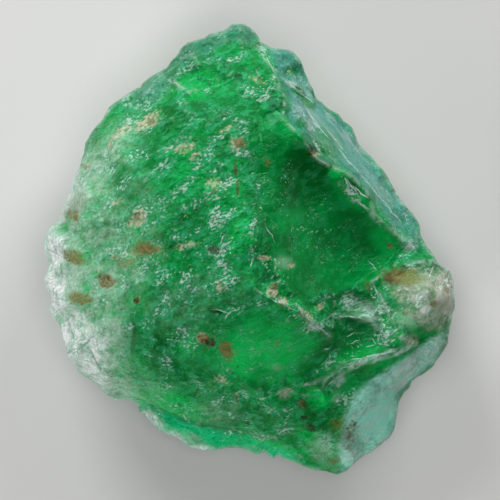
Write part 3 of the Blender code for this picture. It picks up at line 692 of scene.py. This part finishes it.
# Tan and cream grains, strewn in patches
DUST = (
    (150, 254, 56, 14, 4, 0.8), (196, 206, 44, 16, 25, 0.7), (218, 186, 14, 12, 0, 0.8),
    (108, 262, 28, 22, 0, 0.6), (238, 398, 34, 14, -10, 0.7), (180, 146, 34, 12, 22, 0.7),
    (262, 252, 12, 16, 0, 0.8), (300, 312, 34, 6, -38, 0.9), (222, 290, 12, 14, 0, 0.7),
    (90, 312, 24, 8, 0, 0.8), (266, 84, 22, 8, -20, 0.7), (344, 432, 20, 14, 30, 0.6),
)
# Teal along the rim, of the bevel's kind; on the top rim it is painted shade, dimming the slopes that the
# key light falls on
TEAL = (
    (198, 50, 46, 11, 24, 0.6), (243, 33, 17, 10, 0, 0.55), (152, 90, 34, 11, 42, 0.4),
    (412, 244, 13, 8, -50, 0.9),
)
# And marks on the back
BACK_CRUST = (
    (110, 190, 46, 30, 30, 0.8), (352, 340, 60, 26, -40, 0.6), (180, 400, 40, 16, -20, 0.7),
)
BACK_BROWN = (
    (150, 300, 26, 14, 20, 0.7), (330, 180, 20, 12, -30, 0.6), (250, 100, 14, 9, 0, 0.6),
    (300, 400, 16, 10, 10, 0.5), (384, 250, 10, 16, 0, 0.6),
)

# Marks too thin for the mesh to hold, which the material draws: the same without a strength
SCRATCHES = (
    (270, 234, 13, 0.5, -64), (372, 266, 8, 0.6, -51), (343, 301, 4, 1, 88), (350, 334, 6, 0.9, 26),
    (354, 342, 7, 0.9, 22), (373, 341, 5, 0.8, -55), (370, 346, 6, 0.7, 12), (382, 343, 8, 0.8, -8),
    (380, 333, 6, 0.9, 60), (326, 348, 3, 0.7, 10), (375, 291, 9, 1.1, -68), (329, 316, 9, 0.8, 28),
    (352, 317, 16, 0.8, -6), (362, 308, 16, 0.7, 12), (358, 303, 14, 0.6, 20), (374, 316, 12, 0.7, -38),
    (283, 304, 19, 0.8, -27), (316, 325, 19, 0.9, -38), (372, 355, 36, 0.8, 11), (352, 364, 22, 0.7, 22),
    (421, 351, 20, 0.9, 36), (398, 371, 13, 1, 33), (400, 381, 12, 1, 27), (384, 389, 12, 0.8, 38),
    (366, 402, 14, 0.7, 50), (414, 366, 16, 0.8, 38), (351, 188, 12, 1.2, -52), (359, 193, 14, 1, -40),
    (362, 206, 9, 1.4, -28), (345, 183, 6, 1, -60), (296, 90, 20, 0.9, -27), (270, 66, 16, 0.8, -62),
    (304, 97, 14, 1, -36), (311, 118, 16, 0.9, -52), (322, 133, 14, 0.9, -50), (317, 149, 12, 1, -56),
    (334, 140, 18, 0.8, -50), (350, 164, 24, 0.8, -50), (374, 192, 26, 0.8, -48), (393, 214, 16, 0.9, -46),
    (176, 85, 11, 1, -28), (226, 245, 10, 0.9, 36), (222, 240, 6, 0.8, 66), (220, 310, 12, 1, -14),
    (228, 314, 8, 0.9, 50), (430, 272, 8, 0.7, 62), (252, 262, 7, 0.8, 66),
)
SEAMS = (
    (87, 343, 22, 1.5, 40), (97, 361, 22, 1.3, -64), (72, 330, 16, 1.1, -70), (70, 352, 14, 1.1, 30),
    (90, 376, 16, 0.8, 12), (62, 268, 14, 0.8, -80), (56, 312, 9, 0.8, 30), (80, 366, 10, 0.7, -30),
    (108, 372, 12, 0.7, -48), (66, 244, 10, 0.7, 70),
)
RUST_LINES = (
    (236, 170, 12, 2.0, -84), (238, 190, 12, 1.7, 88), (236, 397, 12, 1, -72), (222, 404, 9, 0.8, 60),
    (246, 404, 10, 0.8, -20), (197, 391, 7, 1, 62),
)

# The faces whose colour fills them
FACES = {"knob": KNOB, "lower_facet": LOWER_FACET, "rim_ledge": RIM_LEDGE}
# The marks whose edges wander widely and tightly: the list, how much they wander, and how hard they are
WIDE_MARKS = {
    "pale": (PALE, 1, 1.1), "glow": (GLOW, 1, 1.3), "dark": (PAINTED_SHADE, 0.5, 1.3), "crust": (CRUST, 1, 1.3),
    "olive": (OLIVE, 1, 1.0), "blush": (BLUSH, 1, 1.1), "milk": (MILK, 1, 0.9), "sparkle": (SPARKLE, 1, 0.9),
    "frosted": (FROSTED, 1, 0.9), "haze": (HAZE, 1, 0.9), "dust": (DUST, 1, 0.9),
    "streaked": (STREAKED, 0.6, 0.9),
}
TIGHT_MARKS = {
    "cream": (CREAM, 1, 1.2), "brown": (BROWN, 1, 1.0), "black": (BLACK, 0.5, 2.0), "white": (WHITE, 1, 1.6),
}


def streaks(x, y, turn, long_size, short_size, seed):
    """Noise drawn out along a direction of the picture; sizes in pixels."""
    along, across = turned(x, y, turn, long_size, short_size)
    return np.array([noise.noise((a, b, seed)) for a, b in zip(along, across)])


def blots(x, y, marks, wobble, hardness):
    """How much of each point a list of marks covers, with edges made ragged by the wobble."""
    share = np.zeros_like(x)
    for at_x, at_y, long_half, short_half, turn, strength in marks:
        distance = np.hypot(*turned(x - at_x, y - at_y, turn, long_half, short_half))
        share = np.maximum(share, strength * fade((BLOT_REACH - distance) * hardness + wobble))
    return share


def normals_of(mesh, points):
    """The mesh's normals once its points are moved to these places."""
    mesh.vertices.foreach_set("co", points.ravel())
    mesh.update()
    normals = np.empty(len(mesh.vertices) * 3, np.float32)
    mesh.vertex_normals.foreach_get("vector", normals)
    return normals.reshape(-1, 3).astype(float)


def neighbour_mean(mesh, values):
    """The mean of the values of each point's neighbours."""
    ends = np.empty(len(mesh.edges) * 2, np.int32)
    mesh.edges.foreach_get("vertices", ends)
    first, second = ends.reshape(-1, 2).T
    total = np.zeros_like(values)
    count = np.zeros(len(values))
    for here, there in ((first, second), (second, first)):
        np.add.at(total, here, values[there])
        np.add.at(count, here, 1)
    return total / (count[:, None] if values.ndim > 1 else count)


def softened(mesh, values, times):
    """Values with their jumps eased over their neighbours."""
    for _ in range(times):
        values = 0.5 * values + 0.5 * neighbour_mean(mesh, values)
    return values


def small_chips(mesh, points, rough):
    """Breaks the rough faces into finer flats, each facing the way the surface does at its seed."""
    random = np.random.default_rng(SMALL_CHIP_SEED)
    for count, depth in SMALL_CHIPS:
        facing = normals_of(mesh, points)
        chosen = random.choice(len(points), count, replace=False)
        chip = chosen[nearest(points, points[chosen])]
        rise = off_flat(points, points[chip], facing[chip], depth * MM)
        shift = softened(mesh, rise * rough, 1)
        points = points + facing[chip] * shift[:, None]
    return points


def hollow_ripples(points, x, y):
    """Height in millimetres of the hollow's ripples and swells."""
    distance = np.hypot(x - RIPPLE_CENTRE[0], y - RIPPLE_CENTRE[1]) + layered(points, [RIPPLE_WAVER])
    patches = np.maximum(noise_at(points, RIPPLE_PATCHES), 0)
    ripples = RIPPLE_RISE * patches * np.sin(distance * 2 * np.pi / RIPPLE_LENGTH)
    return ripples + layered(points, [SWELLS])


def fine_relief(points, x, y, rough, front):
    """Height in metres of the finest forms: splinters, streaks, ripples and grain."""
    grain = layered(points, FINE_ROUGHNESS)
    rise, *form = SPLINTERS
    splinters = rise * np.maximum(streaks(x, y, HACKLE_TURN, *form), SPLINTER_DIP)
    bevel = front * inside_share(x, y, BEVEL)
    off = layered(points, [BEVEL_WAVER])
    lines = sum(rise * streaks(x + off, y, BEVEL_TURN, *form) for rise, *form in BEVEL_LINES)
    ripples = hollow_ripples(points, x, y)
    hollow = front * inside_share(x, y, HOLLOW)
    height = (grain + splinters) * rough * (1 - bevel) + lines * bevel + ripples * hollow
    return height * MM


def more_on_front(directions):
    """Directions moved round the sphere, to give the front more of the fine mesh's points."""
    fine = (0, FINE_FRONT_SHARE, FINE_FRONT_SHARE + FINE_WALL_SHARE, 1)
    plain = (0, FRONT_SHARE, FRONT_SHARE + WALL_SHARE, 1)
    height = 1 - 2 * np.interp((1 - directions[:, 2]) / 2, fine, plain)
    flat = directions[:, :2] / np.maximum(np.linalg.norm(directions[:, :2], axis=1), 1e-9)[:, None]
    return np.column_stack((flat * np.sqrt(np.maximum(1 - height ** 2, 0))[:, None], height))


def broken_share(points, x, y, front):
    """How rough the break looks: 0 on the glassy faces, whose edges wander, and 1 elsewhere."""
    off_x, off_y = x, y
    for size, reach in GLAZE_WAVER:
        off_x = off_x + reach * noise_at(points, size)
        off_y = off_y + reach * noise_at(points + SECOND_NOISE, size)
    smooth = [glaze * inside_share(off_x, off_y, face) for glaze, face in zip(GLAZE, SMOOTH_FACES)]
    return 1 - front * np.max(smooth, axis=0)


def rim_share(x, y):
    """1 on the outline seen from above, falling to 0 a few pixels inside it."""
    away_x, away_y = x - CENTRE[0], CENTRE[1] - y
    inside = outline_reach(np.arctan2(away_y, away_x)) - np.hypot(away_x, away_y)
    return fade(1 - inside / RIM_WIDTH)


def crest_share(x, y):
    """1 on the crests of the ridges, falling to 0 a few pixels away."""
    share = np.zeros_like(x)
    for _, _, line in RIDGES:
        share = np.maximum(share, fade(1 - line_distance(x, y, line)[0] / CREST_WIDTH))
    return share


def material_shares(points, x, y, rough, front):
    """Shares from 0 to 1 at each point of the mesh, for the zones and marks of the stone."""
    wide = layered(points, WIDE_WOBBLE)
    tight = layered(points, TIGHT_WOBBLE)
    back = 1 - front
    shares = {"rough": rough, "rim": rim_share(x, y), "crest": front * crest_share(x, y)}
    for name, face in FACES.items():
        shares[name] = front * inside_share(x, y, face)
    for wobble, group in ((wide, WIDE_MARKS), (tight, TIGHT_MARKS)):
        for name, (marks, calm, hardness) in group.items():
            shares[name] = front * blots(x, y, marks, calm * wobble, hardness)
    teal = blots(x, y, TEAL, wide, 1.0)
    shares["bevel"] = front * np.maximum(inside_share(x, y, BEVEL), teal)
    shares["feather"] = front * inside_share(x + FEATHER_WAVER * wide, y + FEATHER_WAVER * wide, FEATHER)
    shares["pale"] = shares["pale"] + back * BACK_PALE
    shares["crust"] = shares["crust"] + back * blots(x, y, BACK_CRUST, wide, BACK_HARDNESS)
    shares["brown"] = shares["brown"] + back * blots(x, y, BACK_BROWN, tight, BACK_HARDNESS)
    return shares


def edge_share(mesh, points):
    """1 where the mesh stands out past its neighbours, as on chips' edges, and 0 elsewhere."""
    normals = normals_of(mesh, points)
    mean = neighbour_mean(mesh, points)
    edge = np.einsum("ij,ij->i", points - mean, normals) / (EDGE_RISE * MM)
    return np.clip(softened(mesh, edge, 2), 0, 1)


def stone_shape():
    """The stone's fine mesh, with the shares that its material needs, named."""
    mesh, directions = sphere_mesh(FINE_DIVISIONS)
    directions = more_on_front(directions)
    points, rough, free = surface(directions)
    shift = softened(mesh, chip_shift(points), CHIP_EASE)
    points += shift * (CHIP_SHARE * rough * free)[:, None]
    share = SMOOTH_ROUGHNESS + (1 - SMOOTH_ROUGHNESS) * rough
    points += normals_of(mesh, points) * (bumps(points) * share * free)[:, None]
    x, y = pixels(points)
    down = (1 - directions[:, 2]) / 2
    front = fade((FRONT_SHARE + WALL_SHARE - down) / WALL_SHARE)
    rough = broken_share(points, x, y, front)
    points = small_chips(mesh, points, rough * free)
    points += normals_of(mesh, points) * (fine_relief(points, x, y, rough, front) * free)[:, None]
    points = keep_within(points)
    edge = edge_share(mesh, points)
    shares = material_shares(points, x, y, rough, front)
    for name, values in {**shares, "edge": edge}.items():
        mesh.attributes.new(name, "FLOAT", "POINT").data.foreach_set("value", values.astype(np.float32))
    return mesh


def add(tree, kind, inputs=None, **settings):
    """A new shader node with its settings, and its inputs either linked or set."""
    node = tree.nodes.new("ShaderNode" + kind)
    for name, value in settings.items():
        setattr(node, name, value)
    for name, value in (inputs or {}).items():
        if isinstance(value, Value):
            value = value.socket
        if isinstance(value, bpy.types.NodeSocket):
            tree.links.new(value, node.inputs[name])
        else:
            node.inputs[name].default_value = value
    return node


class Value:
    """A number that a material's nodes work out, which takes part in sums as any other number does."""

    def __init__(self, tree, socket):
        self.tree = tree
        self.socket = socket

    def work(self, operation, other=0.0, clamp=False):
        inputs = {0: self, 1: other}
        node = add(self.tree, "Math", inputs, operation=operation, use_clamp=clamp)
        return Value(self.tree, node.outputs[0])

    def __add__(self, other):
        return self.work("ADD", other)

    def __sub__(self, other):
        return self.work("SUBTRACT", other)

    def __mul__(self, other):
        return self.work("MULTIPLY", other)

    def level(self, low, high, to_low=0.0, to_high=1.0):
        """Its place between low and high, held between the two results."""
        inputs = {0: self, 1: low, 2: high, 3: to_low, 4: to_high}
        node = add(self.tree, "MapRange", inputs, interpolation_type="SMOOTHSTEP")
        return Value(self.tree, node.outputs[0])

    def mix(self, first, second):
        """A colour between two, by this share of the second."""
        inputs = {0: self, 6: first, 7: second}
        return add(self.tree, "Mix", inputs, data_type="RGBA").outputs[2]


class StoneCoat:
    """The stone's colour, laid on in layers, with the noises and shares that shape the layers."""

    def __init__(self, tree):
        self.tree = tree
        self.cloud = self.grain(420, 4, turn=0)
        self.patch = self.grain(900, stretch=0.7)
        self.flake = self.grain(2400, stretch=0.5)
        self.fine = self.grain(1900, 4, stretch=0.6)
        self.grit = self.grain(5200, turn=0)
        self.splinter = self.grain(7000, stretch=0.6)
        self.place = self.stone_place()
        wavy = self.bent_place(600, 0.0030)
        self.crooked = self.bent_place(1600, 0.0003)
        self.streak = self.grain(700, turn=BEVEL_TURN, stretch=0.3, place=wavy)
        self.frosting = self.grain(2600, turn=BEVEL_TURN, stretch=0.35, place=wavy)
        self.facet_line = self.grain(2200, turn=FACET_TURN, stretch=0.18, place=wavy)
        self.plume = self.grain(3600, turn=FEATHER_TURN, stretch=0.2)
        self.rough = self.share("rough")
        self.broken = None
        self.colour = MID_GREEN

    def stone_place(self):
        return add(self.tree, "TexCoord").outputs["Object"]

    def vector(self, operation, inputs):
        return add(self.tree, "VectorMath", inputs, operation=operation).outputs[0]

    def grain(self, scale, detail=3, turn=HACKLE_TURN, stretch=1.0, place=None):
        """Fractal noise through the stone, 0 to 1, drawn out along a direction of the picture."""
        place = place or self.stone_place()
        for settings in ({"Rotation": (0, 0, -math.radians(turn))}, {"Scale": (stretch, 1.0, 1.0)}):
            place = add(self.tree, "Mapping", {"Vector": place, **settings}).outputs[0]
        inputs = {"Vector": place, "Scale": scale, "Detail": detail}
        return Value(self.tree, add(self.tree, "TexNoise", inputs).outputs[0])

    def bent_place(self, scale, reach):
        """The place, shifted by up to about this reach in metres, to make straight lines crooked."""
        inputs = {"Vector": self.stone_place(), "Scale": scale, "Detail": 2.0}
        wander = add(self.tree, "TexNoise", inputs).outputs["Color"]
        centred = self.vector("SUBTRACT", {0: wander, 1: (0.5, 0.5, 0.5)})
        shift = self.vector("SCALE", {0: centred, "Scale": reach})
        return self.vector("ADD", {0: self.place, 1: shift})

    def share(self, name):
        """One of the shares that the mesh carries, by name."""
        return Value(self.tree, add(self.tree, "Attribute", attribute_name=name).outputs["Fac"])

    def varied(self, name, noise_value, amount):
        """A share with its edges broken up by noise: nothing where the share is nothing."""
        strength = self.share(name) * ((noise_value - 0.5) * amount + 1.0)
        return strength.work("ADD", 0.0, clamp=True)

    def eroded(self, name, noise_value, amount):
        """Grains of the noise, as dense as the share: none where it is 0 and all but full where it is 1."""
        value = self.share(name)
        grains = (noise_value + value * amount).level(0.78, 0.88)
        return grains * value.level(0.0, 0.2)

    def stained(self, name, noise_value, most=1.0):
        """A stain with an edge made ragged by the noise, and grains in a soft tint where it is weak."""
        value = self.share(name)
        ragged = (value + (noise_value - 0.5) * 3.0).level(0.1, 0.85, 0.0, most)
        ragged = ragged * self.splinter.level(0.36, 0.60, 0.6, 1.0)
        soft = value.level(0.1, 0.8, 0.0, 0.5 * most)
        return ragged.work("MAXIMUM", soft) * value.level(0.0, 0.3)

    def thin(self, marks):
        """1 on thin marks and 0 beyond their edges, drawn by the material itself."""
        total = 0.0
        for at_x, at_y, long_half, short_half, turn in marks:
            inputs = {
                "Vector": self.crooked,
                "Location": metres(at_x, at_y, 0)[0],
                "Rotation": (0, 0, math.radians(turn)),
                "Scale": (long_half * pixel_metres(), short_half * pixel_metres(), 1.0),
            }
            local = add(self.tree, "Mapping", inputs, vector_type="TEXTURE").outputs[0]
            ball = add(self.tree, "TexGradient", {"Vector": local}, gradient_type="SPHERICAL")
            total = Value(self.tree, ball.outputs["Fac"]).work("MAXIMUM", total)
        return total.level(0.0, 0.6)

    def lay(self, share, colour):
        """Lays a colour over what is there, by its share."""
        self.colour = share.mix(self.colour, colour)

    def greens(self):
        """Green in darker and lighter clouds, painted shade on the dark flakes and dark marks, painted light
        shining through on the glow marks, and pale flakes on the rough faces.
        """
        self.lay(self.cloud.level(0.36, 0.62), FULL_GREEN)
        self.broken = self.rough.level(0.0, 1.0, 0.4, 1.0)
        # Painted shade on the rough faces' dark flakes
        self.lay(self.broken * self.flake.level(0.42, 0.50, 0.4, 0.0), SHADE_GREEN)
        # Painted shade on the dark marks
        self.lay(self.varied("dark", self.cloud, 1.0), SHADE_GREEN)
        # Painted light shining through the stone, on the glow marks
        self.lay(self.varied("glow", self.cloud, 1.4), GLOW_GREEN)
        self.lay(self.varied("pale", self.fine, 4.0), PALE_GREEN)
        self.lay(self.broken * self.flake.level(0.52, 0.60, 0.0, 0.45), FROST_GREEN)
        self.lay(self.rough * self.patch.level(0.46, 0.64, 0.0, 0.4), FROST_GREEN)

    def bevel(self):
        """Teal, partly painted sheen, with pale and dark streaks, green windows darkened as painted shade,
        and feathery frosting along the lip.
        """
        bevel = self.varied("bevel", self.streak, 1.6)
        # Partly painted sheen, and painted shade where the teal reaches the top rim
        self.lay(bevel * 0.8, BEVEL_TEAL)
        self.lay(bevel * self.streak.level(0.54, 0.72, 0.0, 0.4), STREAK_WHITE)
        self.lay(bevel * self.streak.level(0.36, 0.48, 0.35, 0.0), MID_GREEN)
        # Painted shade: the bevel's dark windows
        self.lay(self.varied("dark", self.cloud, 1.0) * bevel, MID_GREEN)
        feathery = self.frosting + (self.splinter - 0.5) * 0.7
        frosted = self.share("frosted") * feathery.level(0.42, 0.54, 0.1, 1.0)
        self.lay(frosted * self.share("dark").level(0.2, 0.8, 1.0, 0.1), STREAK_WHITE)

    def pale_faces(self):
        """The mint facet, partly painted light, and the ledge, the milky places and the sugary knob."""
        # Partly painted light: the lamps reach this facet little
        self.lay(self.varied("lower_facet", self.cloud, 0.8) * 0.9, MINT)
        self.lay(self.varied("rim_ledge", self.cloud, 2.2) * 0.85, LEDGE_MINT)
        self.lay(self.varied("milk", self.fine, 3.0), MILK_WHITE)
        sugar = (self.grit + self.fine).level(0.86, 1.12).mix(KNOB_GREEN, KNOB_GREY)
        self.lay(self.varied("knob", self.fine, 1.4) * 0.85, sugar)

    def crust(self):
        """White crust with fine green cracks, and a pinkish tinge beside it."""
        inputs = {"Vector": self.bent_place(900, 0.0011), "Scale": 900.0}
        cells = add(self.tree, "TexVoronoi", inputs, feature="DISTANCE_TO_EDGE")
        crack = Value(self.tree, cells.outputs["Distance"]).level(0.0, 0.07, 0.3, 1.0)
        crack = crack * self.fine.level(0.38, 0.54, 0.45, 1.0)
        crust = crack.mix(CRACK_GREEN, CRUST_WHITE)
        self.lay(self.varied("crust", self.fine, 1.2), crust)
        self.lay(self.varied("blush", self.fine, 1.2) * 0.8, KNOB_BLUSH)

    def sparkle(self):
        """Painted glints: pale flecks and thin crooked threads on the broken faces; and painted shade in the
        dark pits between them.
        """
        dense = self.broken * self.patch.level(0.48, 0.68, 0.0, 0.2)
        dense = dense + self.share("sparkle") * 0.16
        # Painted glints: pale flecks
        self.lay((self.splinter + dense).level(0.70, 0.80, 0.0, 0.85), GLINT_WHITE)
        off_middle = (self.fine - 0.5).work("ABSOLUTE")
        thread = off_middle.level(0.0, 0.03, 1.0, 0.0) * self.grit.level(0.46, 0.60, 0.0, 0.65)
        thread = thread * (self.broken * self.patch.level(0.45, 0.6))
        # Painted glints: thin crooked threads
        self.lay(thread, GLINT_WHITE)
        # Painted shade: dark pits between the grains, except on the even faces
        even = self.share("rim_ledge") + self.share("lower_facet")
        even = even.work("ADD", self.share("milk"), clamp=True)
        grainy = self.rough.work("SUBTRACT", even, clamp=True).level(0.4, 0.9)
        self.lay(grainy * self.grit.level(0.34, 0.44, 0.45, 0.0), SHADE_GREEN)

    def edges_and_lines(self):
        """Painted highlights on the chips' edges and a painted glow along the rim; pale crests, streaks and
        scratches, the haze under the surface and the crust's seams.
        """
        # Painted highlights where the chips' edges stand out
        edge = self.share("edge").level(0.3, 1.0) * self.fine.level(0.4, 0.6, 0.0, 0.4)
        self.lay(edge, GLINT_WHITE)
        # Painted glow along the stone's thin rim
        self.lay(self.varied("rim", self.fine, 1.2) * 0.5, STREAK_WHITE)
        for name, noise_value, levels in (
            ("crest", self.fine, (0.42, 0.60, 0.0, 0.4)),
            ("feather", self.plume, (0.44, 0.64, 0.1, 0.7)),
            ("streaked", self.facet_line, (0.42, 0.58, 0.1, 1.0)),
            ("lower_facet", self.facet_line, (0.50, 0.64, 0.0, 0.65)),
        ):
            self.lay(self.share(name) * noise_value.level(*levels), STREAK_WHITE)
        self.lay(self.eroded("haze", self.splinter, 0.3) * 0.8, HAZE_TEAL)
        self.lay(self.thin(SEAMS) * 0.8, SEAM_GREEN)
        self.lay(self.thin(SCRATCHES) * self.grit.level(0.34, 0.54, 0.45, 1.0), STREAK_WHITE)

    def stains(self):
        """Olive, cream, rusty brown and black, where the iron and the crumbs of rock sit."""
        mottled = (self.fine + self.grit) * 0.5
        self.lay(self.stained("olive", mottled), OLIVE_STAIN)
        cream = self.grit.level(0.36, 0.56).mix(TAN_STAIN, CREAM_STAIN)
        self.lay(self.stained("cream", self.grit), cream)
        self.lay(self.eroded("dust", self.splinter, 0.26) * 0.85, cream)
        brown = mottled.level(0.44, 0.60).mix(BROWN_STAIN, RUST_STAIN)
        self.lay(self.stained("brown", mottled), brown)
        self.lay(self.thin(RUST_LINES) * self.grit.level(0.38, 0.56, 0.3, 0.95), brown)
        self.lay(self.eroded("white", self.splinter, 0.45), STREAK_WHITE)
        self.lay(self.stained("black", self.grit, 0.95), BLACK_SPECK)

    def grains(self):
        """Makes the rough faces a little lighter and darker from grain to grain."""
        uneven = self.rough * self.splinter.level(0.38, 0.62, -0.16, 0.12)
        self.colour = self.vector("SCALE", {0: self.colour, "Scale": uneven + 1.0})

    def clearness(self):
        """How much light goes through: least at the crust and stains."""
        cover = self.share("crust")
        for name in ("cream", "brown", "black", "olive", "white"):
            cover = cover.work("MAXIMUM", self.share(name))
        cloudy = self.share("pale").work("MAXIMUM", self.share("knob"))
        return cloudy.level(0.0, 1.0, 0.45, 0.2) * cover.level(0.0, 0.9, 1.0, 0.1)

    def dullness(self):
        """How much the surface scatters its reflections: least on the glassy faces."""
        return (self.rough + self.fine * 0.4).level(0.1, 1.3, 0.22, 0.45)

    def relief(self):
        """Fine grain and flakes, weaker on the glassy faces."""
        relief = self.fine + self.grit * 0.5
        relief = relief + self.flake.level(0.46, 0.54, 0.0, 0.35)
        return relief * self.rough.level(0.0, 1.0, 0.3, 1.0)


def emerald():
    """Cloudy green beryl: see-through green inside, with frosted breaks, pale crust and rust stains."""
    material = bpy.data.materials.new("emerald")
    material.use_nodes = True
    tree = material.node_tree
    shader = tree.nodes["Principled BSDF"]
    coat = StoneCoat(tree)
    coat.greens()
    coat.bevel()
    coat.pale_faces()
    coat.crust()
    coat.sparkle()
    coat.edges_and_lines()
    coat.stains()
    coat.grains()
    tree.links.new(coat.colour, shader.inputs["Base Color"])
    tree.links.new(coat.clearness().socket, shader.inputs["Transmission Weight"])
    tree.links.new(coat.dullness().socket, shader.inputs["Roughness"])
    inputs = {"Strength": BUMP_STRENGTH, "Distance": BUMP_DEPTH, "Height": coat.relief()}
    bump = add(tree, "Bump", inputs)
    tree.links.new(bump.outputs[0], shader.inputs["Normal"])
    for name, value in SURFACE.items():
        shader.inputs[name].default_value = value
    absorb = add(tree, "VolumeAbsorption", {"Color": INNER_GREEN, "Density": INNER_DENSITY})
    tree.links.new(absorb.outputs[0], tree.nodes["Material Output"].inputs["Volume"])
    return material


def stone():
    piece = bpy.data.objects.new("emerald_stone", stone_shape())
    bpy.context.scene.collection.objects.link(piece)
    piece.data.shade_smooth()
    piece.data.set_sharp_from_angle(angle=math.radians(SHARP_ANGLE))
    piece.data.materials.append(emerald())
    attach(piece, "root")
    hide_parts("rough_emerald")


def floor():
    bpy.ops.mesh.primitive_plane_add(size=FLOOR_SIZE, location=(0, 0, -FLOOR_GAP))
    ground = bpy.context.object
    ground.name = "floor"
    material = bpy.data.materials.new("pale floor")
    material.use_nodes = True
    shader = material.node_tree.nodes["Principled BSDF"]
    shader.inputs["Base Color"].default_value = FLOOR_COLOUR
    shader.inputs["Roughness"].default_value = FLOOR_DULLNESS
    ground.data.materials.append(material)


def soft_light(name, place, size, power):
    """A square soft box that faces the stone."""
    light = bpy.data.lights.new(name, "AREA")
    light.shape = "SQUARE"
    light.size = size
    light.energy = power
    lamp = bpy.data.objects.new(name, light)
    lamp.location = place
    aim = Vector((0, 0, LIGHT_AIM_HEIGHT)) - Vector(place)
    lamp.rotation_euler = aim.to_track_quat("-Z", "Y").to_euler()
    bpy.context.scene.collection.objects.link(lamp)


def studio():
    """A plain pale room: light from all round, softer from straight above."""
    world = bpy.data.worlds.new("studio")
    bpy.context.scene.world = world
    world.use_nodes = True
    tree = world.node_tree
    background = tree.nodes["Background"]
    place = add(tree, "TexCoord").outputs["Generated"]
    height = Value(tree, add(tree, "SeparateXYZ", {0: place}).outputs[2])
    tree.links.new(height.level(*SKY_HEIGHTS).mix(HORIZON, ZENITH), background.inputs[0])
    background.inputs[1].default_value = WORLD_STRENGTH
    for light in LIGHTS:
        soft_light(*light)


def camera():
    """Looks straight down on the stone through a long lens, with the picture's frame at the waist."""
    lens = bpy.data.cameras.new("camera")
    lens.lens = LENS
    lens.sensor_width = SENSOR
    lens.clip_start = NEAREST
    lens.clip_end = FARTHEST
    eye = bpy.data.objects.new("camera", lens)
    frame_width = PICTURE_SIDE * pixel_metres()
    eye.location = (0, 0, WAIST_HEIGHT + frame_width * LENS / SENSOR)
    bpy.context.scene.collection.objects.link(eye)
    bpy.context.scene.camera = eye


def main():
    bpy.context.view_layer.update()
    bpy.context.scene.view_settings.view_transform = "Standard"
    camera()
    studio()
    floor()
    stone()


main()
